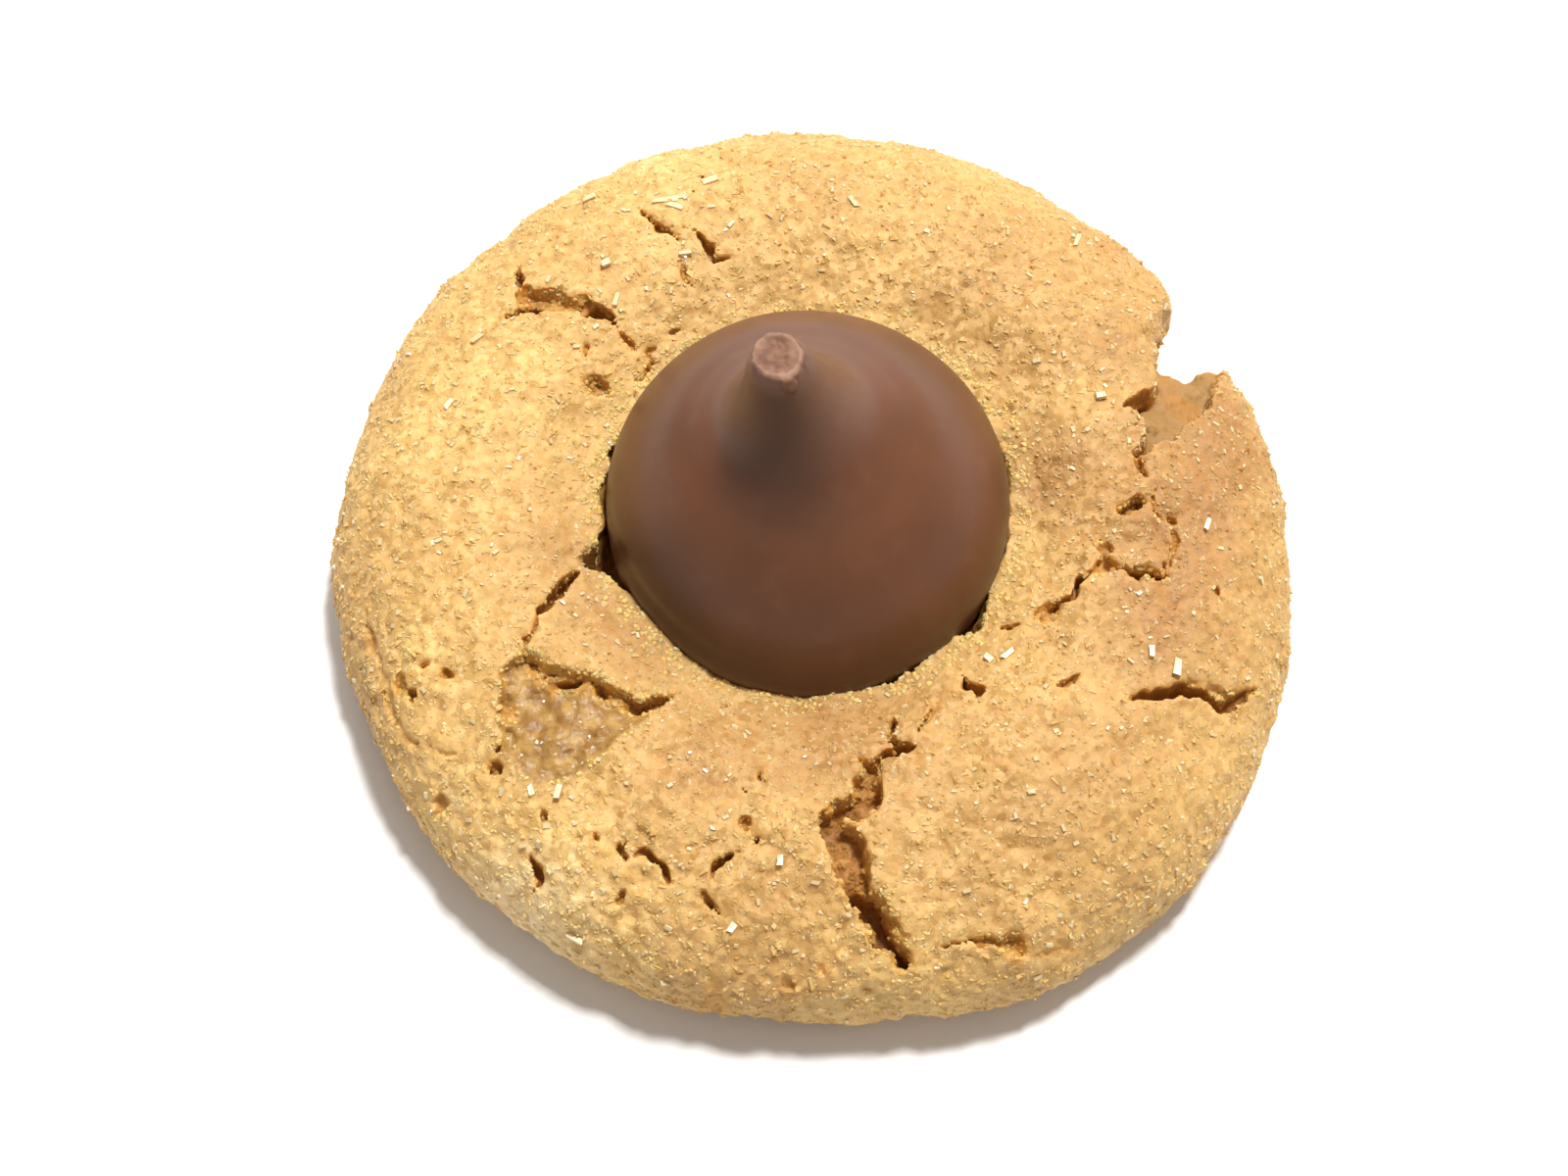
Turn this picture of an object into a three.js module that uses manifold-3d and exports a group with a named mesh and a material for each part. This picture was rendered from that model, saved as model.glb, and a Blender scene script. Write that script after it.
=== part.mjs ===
// Peanut butter blossom: a round, sugar-rolled peanut butter cookie with a chocolate drop pressed
// into its middle while it is warm, so that the crust cracks into plates and dips round the drop.
// Millimetres, +Z up. The origin is under the middle of the cookie, on the face it rests on.
import * as THREE from "three";
import { ConvexGeometry } from "three/addons/geometries/ConvexGeometry.js";
import { mergeVertices } from "three/addons/utils/BufferGeometryUtils.js";
import Module from "manifold-3d";

// Cookie
const COOKIE_RADIUS = 26.4;
const COOKIE_TOP = 9.6; // height of the plateau between the rim and the dimple
const WIDEST_LEVEL = 2.8; // height at which the rim bulges furthest
const UNDERCUT = 2.2; // how far the rim curves back in to the flat underside
const SHOULDER_POWER = 7; // a higher power gives a squarer shoulder
const DIMPLE_DEPTH = 2.1; // how far the crust dips beside the drop
const DIMPLE_REACH = 3.6; // how far from the drop that dip fades out
const COOKIE_SEGMENTS = 90;
const UNDERCUT_STEPS = 3; // steps from the underside out to the widest level
const SHOULDER_STEPS = 8; // steps from the widest level up and in to the shoulder
const SHOULDER_WIDTH = 0.16; // the rounded shoulder, as a share of the radius
const CRUST_STEPS = 8; // steps from the shoulder in to the drop

// Chocolate drop
const DROP_AXIS = new THREE.Vector2(-0.2, 0.8);
const DROP_BASE_LEVEL = 4.2; // height of the drop's flat base, sunk in the dough
const DROP_RADIUS = 10.95;
const DROP_HEIGHT = 20;
const TIP_RADIUS = 1.3;
const TIP_LEAN = new THREE.Vector2(-1.65, -0.25); // the tip curls over to one side
const LEAN_START = 5; // height above the base from which the drop leans
const LEAN_POWER = 1.5; // a higher power keeps the lean nearer the tip
const DROP_SEGMENTS = 48;
const DROP_STEPS = 24;
const SEAT_STEPS = 12; // steps up the drop's side where it only cuts its seat
const UNDER_DROP = 0.8; // the crust's innermost ring, inside the seat, as a share of the drop's radius
const SEAT_GAP = 0.3; // clearance between the drop and the dough round it

// The rim isn't quite round: [direction in degrees, spread in degrees, swell in mm]
const OUTLINE_SWELLS = [
  [310, 26, 1.4],
  [60, 25, -0.4],
  [110, 20, 0.1],
  [145, 7, 0.3],
  [165, 7, -0.3],
  [205, 10, -0.3],
  [247, 9, 0.25],
  [292, 8, 0.3],
  [345, 6, 0.3],
];

// The crust's plates puff up and the torn places sink: centre, radius and rise in mm
const PLATES = [
  { name: "front right plate", at: [13.5, -15.5], radius: 6.5, rise: 0.8 },
  { name: "left plate", at: [-18.5, 3], radius: 7.5, rise: 0.5 },
  { name: "back plate", at: [2, 19], radius: 8, rise: 0.4 },
  { name: "right plate", at: [18, -7.5], radius: 3.6, rise: 0.4 },
  { name: "front left plate", at: [-5.5, -17.5], radius: 4.5, rise: 0.4 },
  { name: "wedge beside the drop", at: [-9.8, -8.2], radius: 2.6, rise: 0.5 },
  { name: "torn crust", at: [-11.8, -12.9], radius: 2.6, rise: -1.5 },
  { name: "broken edge", at: [19.8, 6.6], radius: 2.6, rise: -1.8 },
];

// Splits in the crust: a route over the top, the widest opening and the depth at its middle
const CRACKS = [
  {
    name: "front split", width: 2.3, depth: 4.5,
    route: [[8.4, -9.4], [5.6, -12.9], [3.2, -15.2], [1.1, -17.8], [1.7, -20.2], [3.2, -23], [4.5, -25.2]],
  },
  {
    name: "back left split", width: 1.9, depth: 3,
    route: [[-16.6, 14.4], [-15.4, 12.1], [-12.6, 11.7], [-10.6, 10.2]],
  },
  {
    name: "left split", width: 1.0, depth: 3,
    route: [[-11.4, -2.9], [-13.2, -5], [-14.4, -7.3], [-14.8, -9.6]],
  },
  {
    name: "torn slit", width: 1.3, depth: 2.6,
    route: [[-15, -8.9], [-13.2, -10.1], [-10.6, -11], [-7.4, -11.1]],
  },
  {
    name: "right split", width: 0.9, depth: 2.5,
    route: [[11.6, -6.7], [14, -5], [15.6, -3.8], [19, -4.9]],
  },
  {
    name: "right slit", width: 1.0, depth: 3.2,
    route: [[16.6, -11.2], [19.2, -11], [21.4, -11.3], [23, -10.1]],
  },
  {
    name: "broken edge split", width: 1.7, depth: 3,
    route: [[20.4, 10.6], [18.4, 7.2], [17.2, 3.4], [17.6, 0.4]],
  },
  {
    name: "rim split", width: 1.2, depth: 2.2,
    route: [[5.4, -23.7], [9.6, -23.4], [14.2, -22.4]],
  },
];
const CRACK_STATION_GAP = 1.6; // length of each straight stretch of a split
const CRACK_OVERLAP = 0.1; // how far each stretch runs into the next, as a share of its length
const CRACK_FLOOR_SHARE = 0.35; // width of a split's floor as a share of its opening
const CRACK_TAPER_POWER = 0.6; // a lower power keeps a split wide for longer

// The piece missing from the rim, as seen from above
const NOTCH = [
  [30, 16.4], [22, 15], [20.3, 13], [19.5, 11], [19.6, 9.6], [21.2, 9.3], [22.2, 10.3], [23.6, 10.3],
  [24.3, 9.6], [30, 12.2],
];

const COOKIE_FINISH = { color: 0xe3b571, roughness: 0.9, metalness: 0 };
const CHOCOLATE_FINISH = { color: 0x6f4632, roughness: 0.4, metalness: 0 };

const wasm = await Module();
wasm.setup();

// A closed three.js geometry as a solid
function solidOf(geometry) {
  const points = new THREE.BufferGeometry().setAttribute("position", geometry.getAttribute("position"));
  if (geometry.index) points.setIndex(geometry.index);
  const merged = mergeVertices(points, 1e-3);
  const corners = merged.index.array;
  const triVerts = [];
  for (let i = 0; i < corners.length; i += 3) {
    const [a, b, c] = corners.slice(i, i + 3);
    if (a !== b && b !== c && c !== a) triVerts.push(a, b, c);
  }
  return new wasm.Manifold(
    new wasm.Mesh({
      numProp: 3,
      vertProperties: merged.getAttribute("position").array,
      triVerts: new Uint32Array(triVerts),
    }),
  );
}

function geometryOf(solid) {
  const { numProp, vertProperties, triVerts } = solid.getMesh();
  const geometry = new THREE.BufferGeometry();
  geometry.setAttribute("position", new THREE.InterleavedBufferAttribute(
    new THREE.InterleavedBuffer(vertProperties, numProp), 3, 0));
  geometry.setIndex(new THREE.BufferAttribute(triVerts, 1));
  const flat = geometry.toNonIndexed();
  flat.computeVertexNormals();
  return flat;
}

// Distance between two directions in degrees, the short way round
const turnBetween = (a, b) => Math.abs(THREE.MathUtils.euclideanModulo(a - b + 180, 360) - 180);

// The rim's radius in a direction, as a share of the mean radius
function outlineShare(x, y) {
  const direction = THREE.MathUtils.radToDeg(Math.atan2(y, x));
  const swell = OUTLINE_SWELLS.reduce(
    (sum, [at, spread, rise]) => sum + rise * Math.exp(-((turnBetween(direction, at) / spread) ** 2)), 0);
  return 1 + swell / COOKIE_RADIUS;
}

// Height of a smooth, round cookie's crust at a radius
function roundedCrust(radius) {
  const share = Math.min(radius / COOKIE_RADIUS, 1);
  return WIDEST_LEVEL + (COOKIE_TOP - WIDEST_LEVEL) * Math.sqrt(1 - share ** SHOULDER_POWER);
}

// How far the plates and the dimple lift or lower the crust at a place
function crustRelief(x, y) {
  const plates = PLATES.reduce((sum, { at, radius, rise }) => {
    const distance = Math.hypot(x - at[0], y - at[1]);
    return sum + rise * Math.exp(-((distance / radius) ** 2));
  }, 0);
  const besideDrop = Math.max(Math.hypot(x - DROP_AXIS.x, y - DROP_AXIS.y) - DROP_RADIUS, 0);
  return plates - DIMPLE_DEPTH * Math.exp(-((besideDrop / DIMPLE_REACH) ** 2));
}

const crustHeight = (x, y) => roundedCrust(Math.hypot(x, y) / outlineShare(x, y)) + crustRelief(x, y);

// The whole cookie, before anything is cut: a turned form whose rim and crust are then made uneven
function doughForm() {
  const profile = [new THREE.Vector2(0, 0)];
  for (let i = 0; i <= UNDERCUT_STEPS; i++) {
    const turn = (i / UNDERCUT_STEPS) * (Math.PI / 2);
    profile.push(new THREE.Vector2(
      COOKIE_RADIUS - UNDERCUT * (1 - Math.sin(turn)), WIDEST_LEVEL * (1 - Math.cos(turn))));
  }
  for (let i = 1; i <= SHOULDER_STEPS; i++) {
    const radius = COOKIE_RADIUS * (1 - SHOULDER_WIDTH * (i / SHOULDER_STEPS) ** 2);
    profile.push(new THREE.Vector2(radius, roundedCrust(radius)));
  }
  const shoulder = COOKIE_RADIUS * (1 - SHOULDER_WIDTH);
  for (let i = 1; i <= CRUST_STEPS; i++) {
    const radius = THREE.MathUtils.lerp(shoulder, DROP_RADIUS * UNDER_DROP, i / CRUST_STEPS);
    profile.push(new THREE.Vector2(radius, roundedCrust(radius)));
  }
  profile.push(new THREE.Vector2(0, COOKIE_TOP));
  const form = new THREE.LatheGeometry(profile, COOKIE_SEGMENTS).rotateX(Math.PI / 2);
  const points = form.getAttribute("position");
  for (let i = 0; i < points.count; i++) {
    const share = outlineShare(points.getX(i), points.getY(i));
    const x = points.getX(i) * share;
    const y = points.getY(i) * share;
    const z = points.getZ(i);
    const onCrust = THREE.MathUtils.smoothstep(z, WIDEST_LEVEL, COOKIE_TOP - 2);
    points.setXYZ(i, x, y, z + onCrust * crustRelief(x, y));
  }
  return solidOf(form);
}

// The drop's half outline from the middle of its base to the middle of its broken tip
function dropProfile(grow, steps) {
  const sizes = [
    [0.93, 0], [0.98, 0.05], [1, 0.16], [0.975, 0.25], [0.905, 0.34], [0.79, 0.435],
    [0.645, 0.525], [0.5, 0.59], [0.37, 0.655], [0.275, 0.74], [0.205, 0.84], [0.155, 0.94],
  ].map(([r, z]) => new THREE.Vector2(DROP_RADIUS * r + grow, DROP_HEIGHT * z));
  sizes.push(new THREE.Vector2(TIP_RADIUS + grow, DROP_HEIGHT));
  const side = new THREE.SplineCurve(sizes).getSpacedPoints(steps);
  return [
    new THREE.Vector2(0, -grow),
    new THREE.Vector2(DROP_RADIUS * 0.88 + grow, -grow),
    ...side,
    new THREE.Vector2(0, DROP_HEIGHT),
  ];
}

// The drop, leaning to one side towards its tip. grow makes it larger all round, to cut its seat
function dropForm(grow = 0, steps = DROP_STEPS) {
  const form = new THREE.LatheGeometry(dropProfile(grow, steps), DROP_SEGMENTS).rotateX(Math.PI / 2);
  const points = form.getAttribute("position");
  for (let i = 0; i < points.count; i++) {
    const z = points.getZ(i);
    const lean = (Math.max(z - LEAN_START, 0) / (DROP_HEIGHT - LEAN_START)) ** LEAN_POWER;
    points.setXYZ(
      i,
      points.getX(i) + DROP_AXIS.x + TIP_LEAN.x * lean,
      points.getY(i) + DROP_AXIS.y + TIP_LEAN.y * lean,
      z + DROP_BASE_LEVEL,
    );
  }
  return solidOf(form);
}

// A split's cross-section: four corners, from well above the crust down to the split's floor
function crackSection(curve, share, { width, depth }) {
  const at = curve.getPointAt(share);
  const along = curve.getTangentAt(share);
  const open = Math.max(Math.sin(Math.PI * share), 0) ** CRACK_TAPER_POWER * 0.9 + 0.1;
  const crust = crustHeight(at.x, at.y);
  const corner = (side, halfWidth, z) =>
    new THREE.Vector3(at.x - along.y * side * halfWidth, at.y + along.x * side * halfWidth, z);
  const half = (width * open) / 2;
  return [-1, 1].flatMap((side) => [
    corner(side, half * (2 - CRACK_FLOOR_SHARE), crust + depth * open),
    corner(side, half * CRACK_FLOOR_SHARE, crust - depth * open),
  ]);
}

// A split as a row of short solid wedges, each running a little into the next
function crackWedges(crack) {
  const curve = new THREE.SplineCurve(crack.route.map(([x, y]) => new THREE.Vector2(x, y)));
  const stretches = Math.ceil(curve.getLength() / CRACK_STATION_GAP);
  return Array.from({ length: stretches }, (_, i) => {
    const ends = [i - CRACK_OVERLAP, i + 1 + CRACK_OVERLAP]
      .map((at) => THREE.MathUtils.clamp(at / stretches, 0, 1));
    return solidOf(new ConvexGeometry(ends.flatMap((share) => crackSection(curve, share, crack))));
  });
}

function notchPrism() {
  const outline = new THREE.Shape(NOTCH.map(([x, y]) => new THREE.Vector2(x, y)));
  return solidOf(new THREE.ExtrudeGeometry(outline, { depth: COOKIE_TOP * 2, bevelEnabled: false })
    .translate(0, 0, -COOKIE_TOP / 2));
}

function cookie() {
  let dough = doughForm().subtract(dropForm(SEAT_GAP, SEAT_STEPS)).subtract(notchPrism());
  for (const wedge of CRACKS.flatMap(crackWedges)) dough = dough.subtract(wedge);
  return dough;
}

function piece(name, solid, finish) {
  const mesh = new THREE.Mesh(geometryOf(solid), new THREE.MeshStandardMaterial(finish));
  mesh.name = name;
  return mesh;
}

const blossom = new THREE.Group();
blossom.add(piece("cookie", cookie(), COOKIE_FINISH));
blossom.add(piece("chocolate_drop", dropForm(), CHOCOLATE_FINISH));
const middle = new THREE.Box3().setFromObject(blossom).getCenter(new THREE.Vector3());
blossom.position.set(-middle.x, -middle.y, 0);

export default blossom;
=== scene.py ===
"""The looks of a peanut butter blossom: a sugar-rolled peanut butter cookie, cracked and dimpled by the
chocolate drop pressed into it. Sizes are in millimetres in the cookie's own frame, as the CAD part has
them, until a mesh is made in metres. Directions are in degrees about +Z, from +X."""

import itertools
import math

import bpy
import numpy as np
from mathutils import Matrix, Vector


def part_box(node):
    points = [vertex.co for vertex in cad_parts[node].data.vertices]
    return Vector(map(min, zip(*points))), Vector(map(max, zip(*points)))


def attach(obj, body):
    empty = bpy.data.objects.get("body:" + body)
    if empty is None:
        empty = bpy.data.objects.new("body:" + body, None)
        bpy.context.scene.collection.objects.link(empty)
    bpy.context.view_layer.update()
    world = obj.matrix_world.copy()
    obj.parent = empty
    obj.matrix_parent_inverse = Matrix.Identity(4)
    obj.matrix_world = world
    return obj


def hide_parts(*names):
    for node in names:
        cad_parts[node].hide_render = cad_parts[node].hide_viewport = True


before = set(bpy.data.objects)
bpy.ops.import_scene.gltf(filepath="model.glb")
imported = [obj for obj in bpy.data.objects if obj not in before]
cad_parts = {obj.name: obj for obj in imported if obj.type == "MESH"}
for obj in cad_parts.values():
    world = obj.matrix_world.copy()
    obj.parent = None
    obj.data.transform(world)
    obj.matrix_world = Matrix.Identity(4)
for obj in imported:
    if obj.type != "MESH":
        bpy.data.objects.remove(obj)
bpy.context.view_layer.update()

MM = 0.001  # metres in a millimetre

# Cookie, as in the CAD part
COOKIE_RADIUS = 26.4
COOKIE_TOP = 9.6
WIDEST_LEVEL = 2.8
UNDERCUT = 2.2
SHOULDER_POWER = 7
DIMPLE_DEPTH = 2.1
DIMPLE_REACH = 3.6
OUTLINE_SWELLS = [
    (310, 26, 1.4), (60, 25, -0.4), (110, 20, 0.1), (145, 7, 0.3), (165, 7, -0.3), (205, 10, -0.3),
    (247, 9, 0.25), (292, 8, 0.3), (345, 6, 0.3),
]

# Chocolate drop, as in the CAD part
DROP_AXIS = (-0.2, 0.8)
DROP_BASE_LEVEL = 4.2
DROP_RADIUS = 10.95
DROP_HEIGHT = 20
TIP_RADIUS = 1.3
TIP_LEAN = (-1.65, -0.25)
LEAN_START = 5
LEAN_POWER = 1.5
DROP_PROFILE = [
    (0.93, 0), (0.98, 0.05), (1, 0.16), (0.975, 0.25), (0.905, 0.34), (0.79, 0.435), (0.645, 0.525),
    (0.5, 0.59), (0.37, 0.655), (0.275, 0.74), (0.205, 0.84), (0.155, 0.94),
]

# The drop's finer shape
CREASE_LEVEL = 4.8  # height above the base of the soft crease round its foot
CREASE_WIDTH = 0.6
CREASE_DEPTH = 0.11
CREASE_DIRECTIONS = [(222, 34, 1.0), (290, 26, 0.5)]  # direction, spread and strength
FOOT_RISE = 0.02  # how far the foot below the crease stands proud
FOOT_BULGE = (266, 40, 0.42)  # direction, spread and rise of the foot where it is squeezed out
FOOT_PAINTED_SHADE = (218, 24, 1.0)  # where painted shade on the foot reaches higher up: direction, spread and strength
CONE_PAINTED_SHADE = (258, 44, 1.0)  # painted shade and reflection: where the concave front of the cone is coloured darker
DRIP_DIRECTION = 292  # a small drip under the edge of the broken tip
DRIP_DROP = 0.6  # how far below the tip's top
DRIP_SIZE = (0.4, 0.5)  # half width and half height
DRIP_RISE = 0.22

# Lumps and hollows of the crust: (x, y), radius and rise
CRUST_LUMPS = [
    ((13.5, -15.5), 6.5, 0.8),  # front right plate
    ((-18.5, 3), 7.5, 0.5),  # left plate
    ((2, 19), 8, 0.4),  # back plate
    ((18, -7.5), 3.6, 0.4),  # right plate
    ((-5.5, -17.5), 4.5, 0.4),  # front left plate
    ((-9.8, -8.2), 2.6, 0.6),  # wedge beside the drop
    ((-19.3, -15.2), 2.4, -0.5),  # below the fold in the left rim
    ((-24.2, -7.2), 2.0, -0.4),
    ((7.5, -13), 2.2, -0.35),
    ((-10.5, -17.8), 2.2, -0.4),
    ((-2.5, -22), 3.0, -0.4),
    ((14.3, 4.5), 2.8, 0.3),
    ((12.0, 15.5), 3.2, -0.3),
]

# Splits in the crust: width, depth and route
SLITS = [
    # back left split
    (0.6, 2.4, [(-16.8, 11.5), (-15.9, 11.8), (-15.4, 12.0), (-15.0, 11.7), (-14.2, 11.6), (-13.5, 11.4)]),
    (0.9, 2.6, [(-12.6, 11.1), (-12.0, 11.6), (-11.5, 11.5), (-11.1, 11.2), (-10.7, 10.8)]),
    (0.5, 0.7, [(-10.7, 10.8), (-10.1, 10.3), (-9.6, 9.8)]),
    (0.45, 0.9, [(-16.2, 14.8), (-16.3, 14.1), (-16.4, 13.4)]),
    (0.3, 0.6, [(-12.6, 9.9), (-12.3, 9.4), (-12.3, 8.8)]),
    # beside the drop at the back left
    (0.3, 0.6, [(-8.3, 10.8), (-7.8, 11.1), (-7.0, 11.2), (-6.5, 11.2)]),
    (0.35, 0.6, [(-8.4, 10.4), (-9.1, 9.7), (-8.9, 9.1), (-9.5, 8.3), (-10.0, 7.9)]),
    # left split, from the drop to the wedge
    (0.55, 1.8, [(-12.3, -3.8), (-13.0, -4.5), (-13.4, -5.1), (-13.9, -5.6), (-14.3, -6.3), (-14.4, -6.8)]),
    (0.35, 0.6, [(-14.4, -6.6), (-14.4, -7.2), (-14.7, -7.8), (-14.8, -8.8)]),
    # under the wedge beside the drop
    (0.5, 1.7, [(-13.7, -10.2), (-13.2, -10.4), (-12.7, -10.4), (-12.2, -10.2), (-11.7, -10.1)]),
    (0.4, 1.6, [(-11.3, -10.6), (-10.9, -10.8), (-10.4, -11.1)]),
    (0.5, 1.5, [(-9.9, -10.9), (-9.3, -11.5), (-8.6, -11.4), (-8.0, -11.2), (-7.3, -10.9)]),
    (0.35, 0.8, [(-16.3, -13.6), (-16.2, -14.3)]),
    # right split
    (0.25, 0.9, [(9.9, -6.8), (10.4, -6.9), (11.0, -6.7)]),
    (0.3, 1.2, [(12.2, -6.4), (12.8, -6.1), (13.4, -5.8), (14.0, -5.7)]),
    (0.3, 1.4, [(13.7, -5.9), (14.0, -5.2), (14.1, -4.6), (14.6, -4.3), (15.1, -4.1)]),
    (0.35, 1.8, [(15.9, -4.0), (16.5, -4.1), (17.2, -4.2), (18.0, -4.3), (18.9, -4.7)]),
    (0.35, 1.2, [(16.8, -4.3), (17.2, -4.8)]),
    (0.25, 0.6, [(18.6, -4.4), (18.8, -3.6), (19.1, -3.0)]),
    (0.3, 0.7, [(21.1, -4.6), (21.4, -5.0), (21.2, -5.3)]),
    # right slit
    (0.8, 1.9, [(16.5, -11.4), (17.1, -11.2), (18.0, -11.1), (19.2, -10.8), (20.2, -10.9), (20.9, -11.2),
        (21.7, -11.1), (22.1, -10.6), (23.3, -9.9)]),
    (0.4, 0.8, [(13.8, -10.3), (13.1, -10.6), (12.6, -10.9)]),
    # from the broken edge inwards
    (0.75, 1.4, [(16.9, 5.7), (17.8, 6.1), (18.8, 6.8)]),
    (0.6, 0.8, [(17.4, 2.8), (17.7, 2.1), (18.1, 1.2)]),
    (0.25, 0.6, [(18.3, 0.5), (18.2, -0.6), (18.7, -1.3)]),
    (0.25, 0.7, [(19.2, -1.7), (19.3, -2.6), (18.9, -3.3)]),
    # front split and its branches
    (0.45, 1.8, [(5.4, -13.8), (4.7, -13.9), (4.3, -14.2), (3.7, -14.4), (3.0, -14.8)]),
    (0.4, 1.4, [(3.9, -13.2), (4.1, -13.7), (4.3, -14.3)]),
    (0.35, 1.2, [(4.0, -12.1), (4.2, -12.5), (4.0, -13.0)]),
    (0.25, 0.7, [(6.3, -11.4), (5.9, -12.4), (5.4, -13.2), (5.2, -13.9)]),
    (0.7, 2.0, [(2.7, -17.2), (3.3, -16.6), (3.6, -16.0)]),
    (0.8, 1.9, [(1.6, -18.6), (2.1, -19.3), (2.5, -20.2)]),
    (0.35, 1.4, [(7.8, -9.6), (8.1, -10.3), (8.6, -10.6), (8.6, -11.2)]),
    # rim split at the front
    (0.3, 0.8, [(6.4, -23.9), (7.4, -23.9), (8.6, -23.6), (9.4, -23.5), (10.4, -23.6)]),
    (0.3, 0.8, [(10.8, -24.0), (11.7, -24.2), (12.6, -23.9), (13.8, -23.6)]),
    # fine splits at the front left
    (0.35, 0.9, [(-2.7, -15.0), (-2.9, -15.7), (-2.6, -16.3)]),
    (0.3, 0.6, [(-3.6, -16.2), (-3.4, -16.7)]),
    (0.4, 1.0, [(-9.6, -18.8), (-9.7, -19.3), (-9.6, -19.9)]),
    (0.55, 1.1, [(-9.1, -19.6), (-8.5, -19.5), (-8.2, -19.9), (-7.8, -20.2), (-7.4, -20.5), (-7.2, -21.1)]),
    (0.45, 1.3, [(-3.6, -19.6), (-4.4, -20.0), (-4.8, -20.2), (-5.0, -20.6), (-5.0, -21.1)]),
    (0.35, 1.0, [(-5.5, -21.5), (-5.0, -22.3), (-4.6, -22.6), (-4.3, -23.0)]),
    (0.5, 1.3, [(-14.3, -19.1), (-14.0, -20.0), (-13.9, -20.6), (-14.3, -21.0)]),
    (0.35, 0.7, [(-9.7, -20.9), (-9.8, -21.8)]),
    (0.4, 0.6, [(-13.9, -17.0), (-13.9, -17.8)]),
    # fine splits at the back
    (0.42, 1.0, [(-9.7, 18.5), (-9.2, 17.9), (-8.8, 17.4), (-8.6, 16.9), (-8.0, 16.8), (-7.3, 16.2)]),
    (0.5, 1.2, [(-6.6, 16.8), (-6.2, 16.4), (-6.0, 15.9), (-5.6, 15.8), (-5.3, 15.2), (-4.3, 15.2)]),
    (0.3, 0.5, [(-7.2, 15.1), (-7.2, 14.0), (-6.6, 13.4)]),
    # the fold where the crust overhangs the left rim
    (0.5, 0.5, [(-23.7, -5.0), (-23.7, -6.3), (-23.0, -7.9), (-22.3, -10.4), (-21.8, -12.0), (-20.9, -12.8),
        (-19.5, -13.5), (-18.3, -13.8)]),
]

# Places where the crust is missing: depth, how much smaller the floor is than the opening, and outline
POCKETS = [
    # front split
    (1.6, 0.3, [(2.1, -14.4), (2.5, -15.4), (1.8, -16.6), (1.0, -17.2), (0.1, -17.8), (0.3, -19.0),
        (0.7, -20.4), (1.5, -21.4), (3.0, -21.4), (2.8, -20.3), (2.6, -19.0), (1.9, -18.0), (2.7, -17.8),
        (3.3, -17.3), (3.7, -15.9), (3.4, -14.9)]),
    (2.6, 0.3, [(1.4, -21.2), (2.2, -22.7), (2.7, -23.5), (3.1, -24.2), (4.0, -24.4), (4.3, -25.2),
        (5.0, -25.1), (4.8, -24.0), (4.5, -23.2), (3.9, -22.4), (3.2, -21.5)]),
    # back left split
    (1.0, 0.3, [(-16.5, 12.6), (-16.3, 13.2), (-15.9, 13.4), (-14.7, 12.9), (-14.0, 13.0), (-13.1, 12.5),
        (-12.1, 12.4), (-12.2, 11.3), (-13.4, 11.3), (-14.6, 11.6), (-15.5, 12.1), (-16.2, 12.1)]),
    # under the wedge beside the drop
    (1.1, 0.1, [(-14.9, -8.8), (-14.1, -9.2), (-13.2, -9.8), (-13.3, -10.1), (-14.0, -10.1),
        (-14.7, -9.6)]),
    (1.0, 0.1, [(-12.0, -9.9), (-11.2, -10.2), (-10.3, -10.7), (-10.5, -10.9), (-11.2, -10.5),
        (-12.0, -10.2)]),
    # right split
    (0.6, 0.1, [(11.5, -6.3), (12.4, -5.9), (13.2, -6.0), (13.0, -6.3), (12.3, -6.8), (11.6, -6.8)]),
    (1.0, 0.1, [(14.9, -4.3), (15.0, -3.4), (15.5, -3.1), (16.0, -3.5), (16.1, -4.3), (15.1, -4.4)]),
    (0.7, 0.1, [(16.4, -4.5), (16.6, -3.9), (17.4, -3.9), (18.1, -4.2), (18.6, -4.4), (18.5, -4.8),
        (17.3, -4.6)]),
    # above the right slit
    (0.35, 0.2, [(19.1, -10.6), (19.5, -10.1), (20.6, -10.1), (21.6, -10.3), (22.9, -9.9), (22.0, -10.8),
        (20.9, -11.1), (19.2, -10.8)]),
    # below the broken edge
    (1.2, 0.1, [(16.0, -1.2), (16.3, -0.4), (16.9, -0.1), (17.6, 0.3), (17.8, -0.3), (17.4, -0.8),
        (16.8, -1.1)]),
    # beside the branches of the front split
    (0.6, 0.2, [(5.5, -12.6), (6.1, -11.9), (6.2, -11.2), (6.8, -11.2), (6.5, -12.1), (6.0, -12.7)]),
    # rim split at the front
    (1.3, 0.3, [(9.3, -23.7), (9.7, -24.3), (10.4, -24.5), (11.0, -24.0), (10.5, -23.4), (9.9, -23.2)]),
    (1.0, 0.3, [(12.3, -23.6), (12.6, -24.2), (13.2, -24.0), (13.2, -23.5)]),
    # back left, near the drop
    (0.9, 0.25, [(-12.4, 7.5), (-11.9, 8.0), (-11.1, 7.8), (-11.0, 7.1), (-11.6, 6.8), (-12.2, 6.9)]),
    # left, beside the fold
    (0.9, 0.3, [(-22.1, -9.9), (-21.6, -9.3), (-21.2, -9.9), (-21.5, -10.5)]),
    # front left
    (1.2, 0.25, [(-11.4, -18.4), (-11.0, -18.5), (-10.6, -18.9), (-10.9, -19.1), (-11.3, -18.9)]),
]

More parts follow.
